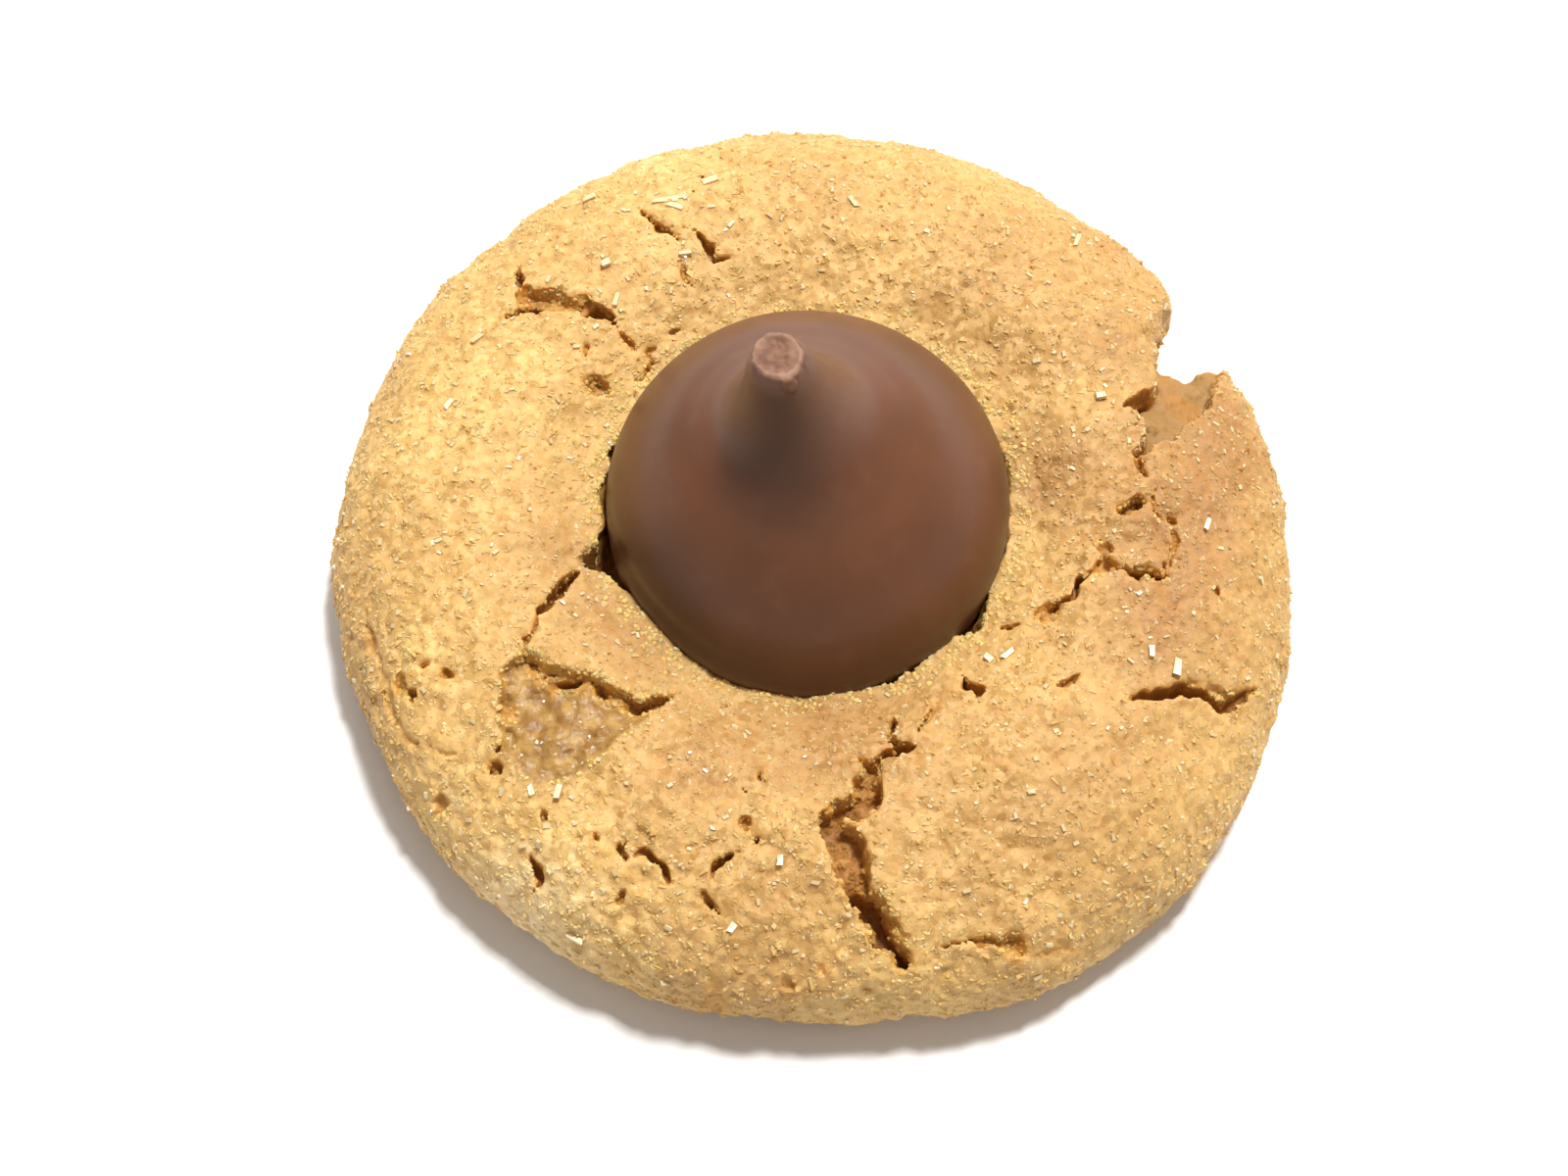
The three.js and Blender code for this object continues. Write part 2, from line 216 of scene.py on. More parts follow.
# Small holes: (x, y), radius and depth
PITS = [
    ((-16.3, -14.8), 0.35, 0.9),
    ((-20.8, -10.5), 0.3, 0.8),
    ((-20.2, -9.2), 0.35, 0.5),
    ((-19.1, -9.6), 0.35, 0.8),
    ((-16.0, -11.9), 0.3, 0.7),
    ((-14.7, -8.1), 0.3, 0.7),
    ((-4.9, -25.8), 0.5, 1.0),
    ((-1.2, -25.5), 0.35, 0.8),
    ((0.5, -25.2), 0.4, 0.8),
    ((15.6, -3.05), 0.5, 0.7),
    ((-6.6, 19.5), 0.4, 1.4),
    ((-6.2, 20.9), 0.3, 0.7),
    ((-16.3, 14.1), 0.2, 0.6),
    ((-3.5, -18.3), 0.3, 0.7),
    ((-2.8, -19.2), 0.25, 0.7),
    ((-1.4, -19.0), 0.2, 0.7),
    ((19.3, -1.4), 0.2, 0.8),
    ((15.3, -2.3), 0.15, 0.6),
    ((-19.4, -15.9), 0.35, 0.6),
]

# Coarse sugar crystals that stand out: (x, y), direction, length and width
LARGE_CRYSTALS = [
    ((-8.2, 18.9), 6, 1.3, 0.26), ((-7.5, 19.1), 12, 1.1, 0.26), ((-7.6, 18.4), -20, 0.9, 0.3),
    ((-10.8, 12.3), 80, 0.8, 0.24), ((-11.4, 14.6), 30, 0.5, 0.3), ((-5.7, 20.3), 20, 1.0, 0.34),
    ((18.9, -9.7), 80, 0.85, 0.4), ((17.6, -8.9), 88, 0.6, 0.26), ((10.2, -8.7), 40, 0.7, 0.24),
    ((9.2, -8.8), -40, 0.45, 0.3), ((-14.4, -16.2), 110, 0.6, 0.28), ((-13.0, -16.3), 75, 0.8, 0.28),
    ((-1.7, -20.0), 88, 0.5, 0.26), ((-4.1, -23.2), 60, 0.5, 0.34), ((-7.5, -25.2), 5, 0.5, 0.26),
    ((-12.2, -23.0), -30, 0.9, 0.3), ((15.1, 17.0), 70, 0.7, 0.24), ((-12.6, 19.6), 30, 0.7, 0.24),
    ((2.4, 18.4), -60, 0.8, 0.24), ((21.1, -1.3), 70, 0.6, 0.24), ((-19.7, 5.8), 55, 0.7, 0.24),
    ((-7.0, 15.3), 10, 0.7, 0.22), ((15.7, 6.2), 10, 0.55, 0.34), ((-18.4, 10.0), 40, 0.7, 0.26),
]

# Outlines of the places where the crust is torn away, and how deep they lie
TORN_PATCH = [
    (-14.9, -8.7), (-16.0, -9.8), (-16.4, -11.4), (-16.1, -14.0), (-14.7, -15.3), (-12.8, -15.8),
    (-10.6, -14.4), (-8.6, -12.6), (-7.2, -10.9), (-8.2, -10.9), (-9.2, -11.4), (-10.2, -10.7),
    (-11.4, -10.1), (-13.2, -9.7),
]
TORN_DEPTH = 0.75
BROKEN_EDGE = [
    (19.4, 11.0), (19.1, 8.1), (18.8, 6.9), (17.8, 6.3), (17.1, 5.7), (18.2, 5.0), (17.9, 3.8), (17.3, 2.8),
    (18.2, 2.9), (19.1, 4.0), (19.8, 3.9), (20.3, 5.0), (20.8, 5.3), (21.9, 6.4), (22.5, 8.4), (23.4, 10.6),
    (21.0, 12.0),
]
BROKEN_DEPTH = 1.9
NOTCH_ROUNDING = 2.6
NOTCH = [
    (30, 16.4), (22, 15), (21, 14), (20.3, 13), (19.8, 12), (19.4, 10.6), (19.6, 9.6), (21.2, 9.3),
    (22.2, 10.3), (23.6, 10.3), (24.3, 9.6), (30, 12.2),
]

# Places where the crust is more broken up: (x, y), radius and how much
RUGGED = [
    ((-9, -19), 7, 0.6), ((20, -1), 4, 0.5), ((-22, -8), 4, 0.6), ((-1, -24), 5, 0.4), ((8, -22), 5, 0.3),
]

# Gaps between the drop and the dough: direction from the drop's axis, spread and width
SEAT_GAPS = [
    (197, 4, 1.4), (192, 7, 0.4), (177, 6, 0.45), (204, 6, 0.45), (164, 3, 0.3), (320, 4, 0.9), (326, 3, 0.3),
    (297, 8, 0.3), (250, 22, 0.08),
]

# Where the crust is browner or paler, partly from its baking and partly painted light and shade: (x, y),
# radius and amount
BAKED_AND_PAINTED_LIGHT = [
    ((1.7, 19.7), 2.8, 0.2), ((10.3, 16.2), 3.2, 0.25), ((17.8, 18.0), 4.0, 0.4),
    ((16.6, 10.2), 3.2, 0.36), ((21.6, 3.8), 4.5, 0.75), ((20, -2.6), 4.5, 0.6),
    ((11.4, 11.5), 2.8, 0.25), ((-5.8, -13.8), 3.2, 0.45), ((-8.5, -16.8), 2.4, 0.18),
    ((-13.9, -16), 3.0, 0.15), ((-0.4, -22), 4.5, 0.25), ((8.2, -21.5), 3.5, 0.2), ((4, -26), 5.0, -0.3),
    ((14.6, -16), 5.0, 0.3), ((18.5, -8.5), 3.5, 0.5), ((4, -12), 4.5, 0.35), ((-9.5, -7), 3.0, 0.55),
    ((-13.5, -4), 4.0, 0.25), ((-18.2, 5), 5.0, -0.25), ((-8.5, 23.5), 5.0, -0.3),
    # the pale places at the lower left rim stand for its glow: painted light
    ((-15, -22), 5.0, -0.75), ((-20.3, -8.5), 2.6, -0.2), ((0, -12.5), 4.0, 0.36), ((13, 2), 3.0, 0.52),
    ((-19, -15.5), 3.0, -0.3), ((17.5, -19), 4.0, -0.15),
]

# The voxels that the dough's surface is found in
VOXEL = 0.17
GRID_LOW = (-28.4, -28.4, -0.6)
GRID_HIGH = (28.4, 28.4, 11.6)

# How many grains, crystals and crumbs are strewn
GRAIN_COUNT = 15_000
SUGAR_COUNT = 16_000
CRYSTAL_COUNT = 700
GLINT_COUNT = 30
CRUMB_COUNT = 2_500


# ---------------------------------------------------------------- noise

def scattered(points, size, seed):
    """points turned and scaled to a lattice whose cells are size wide, so that no grid shows."""
    axis = Vector((1, 0.6, 0.3 + 0.1 * seed)).normalized()
    turn = np.array(Matrix.Rotation(0.7 + seed, 3, axis), np.float32)
    return points.astype(np.float32) @ turn.T / size + 100


def smooth_noise(points, size, seed):
    """Smooth random values from -1 to 1 in lumps of about the given size."""
    table = np.random.default_rng(seed).uniform(-1, 1, (32, 32, 32)).astype(np.float32)
    place = scattered(points, size, seed)
    cell = np.floor(place).astype(np.int32)
    part = place - cell
    part = part * part * (3 - 2 * part)
    total = np.zeros(len(points), np.float32)
    for corner in itertools.product((0, 1), repeat=3):
        weight = np.prod(np.where(corner, part, 1 - part), axis=1)
        i, j, k = ((cell + corner) & 31).T
        total += weight * table[i, j, k]
    return total


def packed_lumps(points, size, seed):
    """Rounded lumps packed side by side: about 0.5 in their middles and -0.5 in the creases between them."""
    table = np.random.default_rng(seed).uniform(0, 1, (32, 32, 32, 3)).astype(np.float32)
    place = scattered(points, size, seed)
    cell = np.floor(place).astype(np.int32)
    nearest = np.full(len(points), 9, np.float32)
    for corner in itertools.product((-1, 0, 1), repeat=3):
        near = cell + corner
        i, j, k = (near & 31).T
        nearest = np.minimum(nearest, ((near + table[i, j, k] - place) ** 2).sum(axis=1))
    return 0.55 - np.sqrt(nearest)


def coarse_lumps(points):
    """The dough's lumps, about 1 mm across."""
    return packed_lumps(points, 1.0, 22)


def fine_lumps(points):
    return packed_lumps(points, 0.55, 25)


def smooth_step(value, low, high):
    """0 at low, 1 at high, and smooth between them. It falls where low is the larger."""
    share = np.clip((value - low) / (high - low), 0, 1)
    return share * share * (3 - 2 * share)


def bell(distance, spread):
    return np.exp(-(distance / spread) ** 2)


def rounded_maximum(a, b, width):
    """The larger of two fields, rounded where they are about equal."""
    share = np.maximum(width - np.abs(a - b), 0) / width
    return np.maximum(a, b) + 0.25 * width * share * share


# ---------------------------------------------------------------- flat maps, as seen from above

def turn_between(a, b):
    return np.abs((a - b + 180) % 360 - 180)


def by_direction(direction, places):
    """Sum of soft bumps in a round: each has a direction, a spread and a height."""
    return sum(height * bell(turn_between(direction, at), spread) for at, spread, height in places)


def by_place(x, y, places):
    """Sum of soft round bumps on the plane: each has a centre, a radius and a height."""
    return sum(height * bell(np.hypot(x - at[0], y - at[1]), radius) for at, radius, height in places)


def outline_share(x, y):
    """The rim's radius in a direction, as a share of the mean radius."""
    return 1 + by_direction(np.degrees(np.arctan2(y, x)), OUTLINE_SWELLS) / COOKIE_RADIUS


def from_drop_axis(x, y):
    return np.hypot(x - DROP_AXIS[0], y - DROP_AXIS[1])


def crust_relief(x, y):
    """How far the crust stands above the plain rounded form."""
    beside_drop = np.maximum(from_drop_axis(x, y) - DROP_RADIUS, 0)
    return by_place(x, y, CRUST_LUMPS) - DIMPLE_DEPTH * bell(beside_drop, DIMPLE_REACH)


def rounded_crust(radius):
    """The plain form's level at a radius."""
    share = np.minimum(radius / COOKIE_RADIUS, 1)
    return WIDEST_LEVEL + (COOKIE_TOP - WIDEST_LEVEL) * np.sqrt(1 - share ** SHOULDER_POWER)


def along_route(x, y, route):
    """Distance from each place to a route, and how far along the route the nearest point is, from 0 to 1."""
    route = np.array(route, np.float32)
    lengths = np.hypot(*np.diff(route, axis=0).T)
    starts = np.concatenate([[0], np.cumsum(lengths)])
    best = np.full(x.shape, 1e3, np.float32)
    share = np.zeros(x.shape, np.float32)
    for (ax, ay), (bx, by), length, start in zip(route[:-1], route[1:], lengths, starts):
        along = np.clip(((x - ax) * (bx - ax) + (y - ay) * (by - ay)) / length ** 2, 0, 1)
        distance = np.hypot(x - ax - along * (bx - ax), y - ay - along * (by - ay))
        nearer = distance < best
        best = np.where(nearer, distance, best)
        share = np.where(nearer, (start + along * length) / starts[-1], share)
    return best, share


def outside_of(x, y, outline):
    """Signed distance to a closed outline, below 0 inside it."""
    closed = outline + outline[:1]
    distance, _ = along_route(x, y, closed)
    within = np.zeros(x.shape, bool)
    for (ax, ay), (bx, by) in zip(closed[:-1], closed[1:]):
        if ay != by:
            crosses = (ay > y) != (by > y)
            within ^= crosses & (x < (bx - ax) * (y - ay) / (by - ay) + ax)
    return np.where(within, -distance, distance)


# ---------------------------------------------------------------- the dough as a field, below 0 inside it

def rim_profile():
    """The cookie's half section, from the middle of the underside out, up and in to the middle of the top."""
    turn = np.linspace(0, math.pi / 2, 12)
    rim = np.column_stack([
        COOKIE_RADIUS - UNDERCUT * (1 - np.sin(turn)), WIDEST_LEVEL * (1 - np.cos(turn))])
    radius = COOKIE_RADIUS * (1 - np.linspace(0, 1, 40)[1:] ** 2)
    crust = np.column_stack([radius, rounded_crust(radius)])
    return np.vstack([[[0, 0]], rim, crust])


def profile_field(radius, level):
    """Signed distance to the half section, looked up in a fine table."""
    step = 0.1
    table_radius = np.arange(0, 31, step, dtype=np.float32)
    table_level = np.arange(-2, 14, step, dtype=np.float32)
    r, z = np.meshgrid(table_radius, table_level, indexing="ij")
    outline = [tuple(point) for point in rim_profile()]
    distance, _ = along_route(r, z, outline)
    inside = outside_of(r, z, [(-1, 0), *outline, (-1, COOKIE_TOP)]) < 0
    table = np.where(inside, -distance, distance)
    i = np.clip(radius / step, 0, len(table_radius) - 1.001)
    j = np.clip((level + 2) / step, 0, len(table_level) - 1.001)
    i0, j0 = i.astype(np.int32), j.astype(np.int32)
    u, v = i - i0, j - j0
    low = table[i0, j0] * (1 - u) + table[i0 + 1, j0] * u
    high = table[i0, j0 + 1] * (1 - u) + table[i0 + 1, j0 + 1] * u
    return low * (1 - v) + high * v


def seat_radius_at(height):
    """Radius of the drop's sunken part at a height above its base."""
    shares = DROP_PROFILE[:3]
    return DROP_RADIUS * np.interp(height / DROP_HEIGHT, [z for _, z in shares], [r for r, _ in shares])


class Dough:
    """The cookie's field on a grid of voxels, and what its surface looks like at any point."""

    def __init__(self):
        self.low = np.array(GRID_LOW)
        self.count = np.ceil((np.array(GRID_HIGH) - self.low) / VOXEL).astype(int)
        axes = [self.low[a] + VOXEL * np.arange(self.count[a], dtype=np.float32) for a in range(3)]
        self.x, self.y = np.meshgrid(axes[0], axes[1], indexing="ij")
        self.z = axes[2]
        self.make_maps()

    def make_maps(self):
        """What varies over the cookie as seen from above."""
        x, y = self.x, self.y
        flat = np.column_stack([x.ravel(), y.ravel(), np.zeros(x.size)])

        def noise(size, seed):
            return smooth_noise(flat, size, seed).reshape(x.shape)

        def shaken(at, seed, fine_seed):
            coarse = at + 0.12 * noise(1.6, seed) + 0.2 * noise(0.6, seed + 2)
            return coarse + 0.07 * noise(0.34, fine_seed)

        ragged_x, ragged_y = shaken(x, 11, 33), shaken(y, 12, 34)
        self.share = outline_share(x, y)
        self.broken = smooth_step(-outside_of(ragged_x, ragged_y, BROKEN_EDGE), -0.12, 0.2)
        broken_sink = self.broken * (BROKEN_DEPTH + 0.3 * noise(1.4, 20))
        self.notch = outside_of(ragged_x, ragged_y, NOTCH) + 0.3 * noise(1.3, 19)

        # The torn patch is deepest, and its edge is steepest, under the wedge at its back
        torn_edge = -outside_of(ragged_x, ragged_y, TORN_PATCH)
        self.torn = smooth_step(torn_edge, -0.25, 0.1)
        torn_ramp = 0.3 + 0.7 * smooth_step(y, -15.5, -11)
        under_wedge = smooth_step(y, -12.5, -11)
        torn_share = smooth_step(torn_edge, 0, 0.5 - 0.38 * under_wedge)
        torn_sink = torn_share * (TORN_DEPTH * torn_ramp + 0.25 * noise(1.1, 20))
        torn_wall = 4 * torn_share * (1 - torn_share) * smooth_step(torn_ramp, 0.6, 0.9)

        self.opened = torn_wall * (0.35 + 0.65 * under_wedge)
        self.cut_depth = np.full(x.shape, TORN_DEPTH + 0.3)
        self.near_opening, self.in_slit, self.beside_slit, self.lip = np.zeros((4, *x.shape))
        from_rim = COOKIE_RADIUS - np.hypot(x, y) / self.share
        self.shallower = 0.35 + 0.65 * smooth_step(from_rim, 0.2, 3)
        lift = self.add_cuts(ragged_x, ragged_y) * (1 - self.torn) * (1 - self.broken)

        uneven = 0.28 * noise(5, 15) + 0.12 * noise(2.4, 16)
        self.relief = crust_relief(x, y) + uneven + lift - broken_sink
        self.top = rounded_crust(np.hypot(x, y) / self.share) + self.relief
        self.relief = self.relief - torn_sink
        # browning with painted light and shade mixed in, from the listed places and two noises
        self.browning_and_painted_light = 0.33 + by_place(x, y, BAKED_AND_PAINTED_LIGHT) + 0.14 * noise(4.2, 17) + 0.09 * noise(1.7, 18)

    def add_cuts(self, x, y):
        """Records every split, pocket and hole. Gives back how far the crust stands up round the pockets."""
        self.cuts = []
        lift = np.zeros(x.shape)
        for width, depth, route in SLITS:
            distance, share = along_route(x, y, route)
            taper = np.sin(math.pi * np.clip(share, 0.04, 0.96)) ** 0.5
            edge = distance - width / 2 * taper
            self.add_cut(edge, 0.1 * width, depth * taper, 0.35)
            self.mark_slit(edge, depth)
            self.beside_slit = np.maximum(self.beside_slit, smooth_step(-edge, -0.45, -0.1))
        for depth, inset, outline in POCKETS:
            edge = outside_of(x, y, outline)
            self.add_cut(edge, inset, depth, 0.7)
            lift = np.maximum(lift, 0.22 * bell(np.maximum(edge, 0), 1.2))
        for (px, py), radius, depth in PITS:
            edge = np.hypot(x - px, y - py) - radius
            self.add_cut(edge, 0.3 * radius, depth, 0.5)
            self.mark_slit(edge, depth)
        return lift

    def mark_slit(self, edge, depth):
        # slits are marked for painted shade from just below the crust, and to keep crumbs out
        self.in_slit = np.maximum(self.in_slit, smooth_step(-edge, -0.1, 0.05) * min(depth / 1.2, 1))

    def add_cut(self, edge, inset, depth, uneven):
        """Records a cut: distance outside its edge, how far its walls lean in, its depth and raggedness."""
        depth = depth * self.shallower
        self.cuts.append((edge, inset, depth, uneven))
        self.cut_depth = np.maximum(self.cut_depth, (edge < 0.6) * (depth + 0.3))
        opened = smooth_step(-edge, -0.4, -0.1) * np.minimum(depth / 0.7, 1)
        self.opened = np.maximum(self.opened, opened)
        self.near_opening = np.maximum(self.near_opening, smooth_step(-edge, -0.2, -0.05))
        self.lip = np.maximum(self.lip, bell(edge - 0.25, 0.25))

    def field(self):
        """The dough's field on the grid, with its cuts, its notch, the drop's seat and its roughness."""
        z = self.z[None, None, :]
        on_crust = smooth_step(z, WIDEST_LEVEL, COOKIE_TOP - 2)
        level = z - on_crust * self.relief[:, :, None]
        radius = (np.hypot(self.x, self.y) / self.share)[:, :, None]
        field = profile_field(np.broadcast_to(radius, level.shape), level)
        self.make_cuts(field)
        cut = -self.notch[:, :, None] - self.ragged_columns(np.abs(self.notch) < 1.5)
        field = rounded_maximum(field, cut, NOTCH_ROUNDING)
        self.cut_seat(field)
        near = (np.abs(field) < 0.9) & (z > 0)
        i, j, k = np.nonzero(near)
        points = np.column_stack([self.x[i, j], self.y[i, j], self.z[k]])
        rugged = by_place(self.x, self.y, RUGGED) + 0.5 * np.maximum(self.torn, self.broken)
        uneven = (1 + rugged) * (1 - 0.65 * self.beside_slit)
        field[near] -= self.roughness(points) * uneven[i, j]
        return np.maximum(field, -np.broadcast_to(z, field.shape))

    def ragged(self, columns):
        """Small unevenness of a broken wall, for whole columns of voxels."""
        x = np.repeat(self.x[columns][:, None], len(self.z), axis=1)
        y = np.repeat(self.y[columns][:, None], len(self.z), axis=1)
        z = np.broadcast_to(self.z[None, :], x.shape)
        points = np.column_stack([x.ravel(), y.ravel(), z.ravel()])
        rough = 0.2 * smooth_noise(points, 0.95, 31) + 0.16 * smooth_noise(points, 0.42, 32)
        return rough.reshape(x.shape)

    def ragged_columns(self, mask):
        """The same for the columns in the mask, and 0 in all others."""
        rough = np.zeros((*mask.shape, len(self.z)), np.float32)
        columns = np.nonzero(mask)
        rough[columns] = self.ragged(columns)
        return rough

    def make_cuts(self, field):
        """Cuts the splits, pockets and holes into the field."""
        level = self.z[None, :]
        for edge, inset, depth, uneven in self.cuts:
            columns = np.nonzero(edge < 0.6)
            rough = self.ragged(columns)
            top = self.top[columns][:, None]
            floor = top - depth[columns][:, None]
            rise = np.clip((level - floor) / (top - floor + 1e-3), 0, 1)
            wall = -edge[columns][:, None] - inset * (1 - rise ** 0.7) + uneven * rough
            field[columns] = np.maximum(field[columns], np.minimum(wall, level - floor + rough))

    def cut_seat(self, field):
        """Takes out the space that the drop fills, with its ragged gaps."""
        from_axis = from_drop_axis(self.x, self.y)
        columns = np.nonzero(from_axis < DROP_RADIUS + 3)
        direction = np.degrees(np.arctan2(self.y[columns] - DROP_AXIS[1], self.x[columns] - DROP_AXIS[0]))
        gap = by_direction(direction, SEAT_GAPS)[:, None] + 0.6 * self.ragged(columns) - 0.02
        seat = seat_radius_at(self.z[None, :] - DROP_BASE_LEVEL)
        cut = np.minimum(seat + gap - from_axis[columns][:, None], self.z[None, :] - DROP_BASE_LEVEL)
        field[columns] = np.maximum(field[columns], cut)

    def roughness(self, points):
        """How far the dough stands proud of its smooth form at points near its surface."""
        lumps = 0.17 * smooth_noise(points, 2.0, 21) + 0.1 * smooth_noise(points, 1.1, 24)
        grain = 0.21 * coarse_lumps(points) + 0.15 * fine_lumps(points)
        return (lumps + grain) * smooth_step(points[:, 2], 0.0, 1.0)

    def column_of(self, points):
        """The index of each point's place in the flat maps."""
        index = np.clip(np.rint((points - self.low) / VOXEL).astype(int), 0, self.count - 1)
        return index[:, 0], index[:, 1]

    def below_crust(self, points):
        column = self.column_of(points)
        return self.top[column] - points[:, 2]

    def bare(self, points):
        """1 where a point lies on a wall or floor below the crust."""
        seat = smooth_step(DROP_RADIUS + 0.9 - from_drop_axis(points[:, 0], points[:, 1]), 0, 0.6)
        below = self.below_crust(points)
        column = self.column_of(points)
        cut = self.opened[column] * smooth_step(self.cut_depth[column] + 1 - below, 0, 0.8)
        return smooth_step(below, 0.05, 0.35) * np.maximum(cut, seat)

    def deep(self, points):
        """How far down in a split or beside the drop a point lies, from 0 to 1, for the painted shade deep
        down.
        """
        below = self.below_crust(points)
        slit = 0.85 * self.in_slit[self.column_of(points)] * smooth_step(below, 0.1, 0.4)
        return np.maximum(smooth_step(below, 0.5, 2.1), slit)

    def brownness(self, points):
        """How brown the crust is, partly from its baking and partly painted light and shade: 1 where brown, 0
        where light and below 0 where pale.
        """
        return np.clip(self.browning_and_painted_light[self.column_of(points)], -0.5, 1.2)


def surface_of(field, low, step):
    """Closed quads on the surface where the field is 0 (naive surface nets)."""
    shape = field.shape
    total = np.zeros((field.size, 3))
    hits = np.zeros(field.size)
    quads = []
    flat = np.array([shape[1] * shape[2], shape[2], 1])
    for axis in range(3):
        b, c = (axis + 1) % 3, (axis + 2) % 3
        first = [slice(None)] * 3
        second = [slice(None)] * 3
        first[axis] = slice(0, -1)
        second[axis] = slice(1, None)
        lower, upper = field[tuple(first)], field[tuple(second)]
        corner = np.argwhere((lower < 0) != (upper < 0))
        at = tuple(corner.T)
        crossing = corner.astype(float)
        crossing[:, axis] += lower[at] / (lower[at] - upper[at])
        here = corner @ flat
        around = [here - flat[b] - flat[c], here - flat[c], here, here - flat[b]]
        for cell in around:
            hits += np.bincount(cell, minlength=field.size)
            for k in range(3):
                total[:, k] += np.bincount(cell, weights=crossing[:, k], minlength=field.size)
        quad = np.column_stack(around)
        quads.append(np.where((lower[at] < 0)[:, None], quad, quad[:, ::-1]))
    used = np.nonzero(hits)[0]
    index = np.full(field.size, -1)
    index[used] = np.arange(len(used))
    points = low + step * total[used] / hits[used][:, None]
    return points, index[np.vstack(quads)]


def main_part(points, quads):
    """The largest connected part of a surface, without small loose ones."""
    label = np.arange(len(points))
    settled = False
    while not settled:
        joined = label.copy()
        np.minimum.at(joined, quads.ravel(), np.repeat(label[quads].min(axis=1), 4))
        joined = joined[joined]
        settled = np.array_equal(joined, label)
        label = joined
    kept = label == np.bincount(label).argmax()
    index = np.cumsum(kept) - 1
    return points[kept], index[quads[kept[quads[:, 0]]]]


# ---------------------------------------------------------------- meshes

def frame_shift():
    """Where the cookie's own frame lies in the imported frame, in millimetres."""
    low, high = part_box("chocolate_drop")
    middle = (low + high) / 2 / MM
    return np.array([middle.x - DROP_AXIS[0], middle.y - DROP_AXIS[1], 0])


SHIFT = frame_shift()


def mesh_object(name, points, faces, smooth=False):
    """A mesh object in metres in the frame, from points in millimetres in the cookie's own frame."""
    mesh = bpy.data.meshes.new(name)
    mesh.from_pydata((points + SHIFT) * MM, [], faces)
    mesh.validate()
    mesh.polygons.foreach_set("use_smooth", np.full(len(mesh.polygons), smooth))
    obj = bpy.data.objects.new(name, mesh)
    bpy.context.scene.collection.objects.link(obj)
    return obj


def points_of(obj):
    """An object's vertices in millimetres in the cookie's own frame."""
    flat = np.empty(len(obj.data.vertices) * 3, np.float32)
    obj.data.vertices.foreach_get("co", flat)
    return flat.reshape(-1, 3) / MM - SHIFT


def give_attributes(obj, looks):
    """Gives every vertex a number for each name, for the materials to read."""
    for name, values in looks.items():
        attribute = obj.data.attributes.new(name, "FLOAT", "POINT")
        attribute.data.foreach_set("value", values.astype(np.float32))


def thin_out(obj, hidden):
    """Merges triangles where hidden is true, as far as they go."""
    group = obj.vertex_groups.new(name="hidden")
    group.add(np.nonzero(hidden)[0].tolist(), 1.0, "REPLACE")
    modifier = obj.modifiers.new("thin_out", "DECIMATE")
    modifier.ratio = 0
    modifier.vertex_group = group.name
    evaluated = obj.evaluated_get(bpy.context.evaluated_depsgraph_get())
    mesh = bpy.data.meshes.new_from_object(evaluated)
    obj.modifiers.clear()
    obj.vertex_groups.clear()
    old = obj.data
    obj.data = mesh
    bpy.data.meshes.remove(old)
    mesh.name = obj.name


def make_cookie(dough):
    points, quads = main_part(*surface_of(dough.field(), dough.low, VOXEL))
    cookie = mesh_object("cookie_dough", points, quads.tolist())
    under_drop = (from_drop_axis(points[:, 0], points[:, 1]) < DROP_RADIUS - 0.6) & (points[:, 2] < 7)
    thin_out(cookie, (points[:, 2] < 0.15) | under_drop)
    points = points_of(cookie)
    column = dough.column_of(points)
    give_attributes(cookie, {
        "bare": dough.bare(points),
        "deep": dough.deep(points),
        "opened": dough.opened[column],
        "torn": dough.torn[column],
        "broken": dough.broken[column],
        "browning_and_painted_light": dough.brownness(points),
        "raised": fine_lumps(points) + 0.6 * coarse_lumps(points),
    })
    return cookie


# ---------------------------------------------------------------- the drop

def smooth_curve(points, count):
    """Evenly spaced points on a Catmull-Rom curve through the given ones."""
    p = np.array(points, float)
    ends = np.vstack([2 * p[0] - p[1], p, 2 * p[-1] - p[-2]])
    t = np.linspace(0, len(p) - 1, 60 * len(p))
    i = np.minimum(t.astype(int), len(p) - 2)
    u = (t - i)[:, None]
    a, b, c, d = ends[i], ends[i + 1], ends[i + 2], ends[i + 3]
    bend = (2 * a - 5 * b + 4 * c - d) * u ** 2
    twist = (3 * b - a - 3 * c + d) * u ** 3
    curve = 0.5 * (2 * b + (c - a) * u + bend + twist)
    length = np.concatenate([[0], np.cumsum(np.hypot(*np.diff(curve, axis=0).T))])
    even = np.linspace(0, length[-1], count)
    return np.column_stack([np.interp(even, length, curve[:, k]) for k in range(2)])


def drop_outline():
    """Radius and height from the middle of the drop's base to the middle of its broken tip."""
    sizes = [(DROP_RADIUS * r, DROP_HEIGHT * z) for r, z in DROP_PROFILE]
    edge = 0.14
    side = smooth_curve(sizes + [(TIP_RADIUS, DROP_HEIGHT - edge)], 230)
    base = [(r, 0) for r in np.linspace(0.02, side[0, 0], 14)[:-1]]
    tip = [(r, DROP_HEIGHT) for r in np.linspace(TIP_RADIUS - edge, 0.02, 12)]
    return np.vstack([base, side, tip])


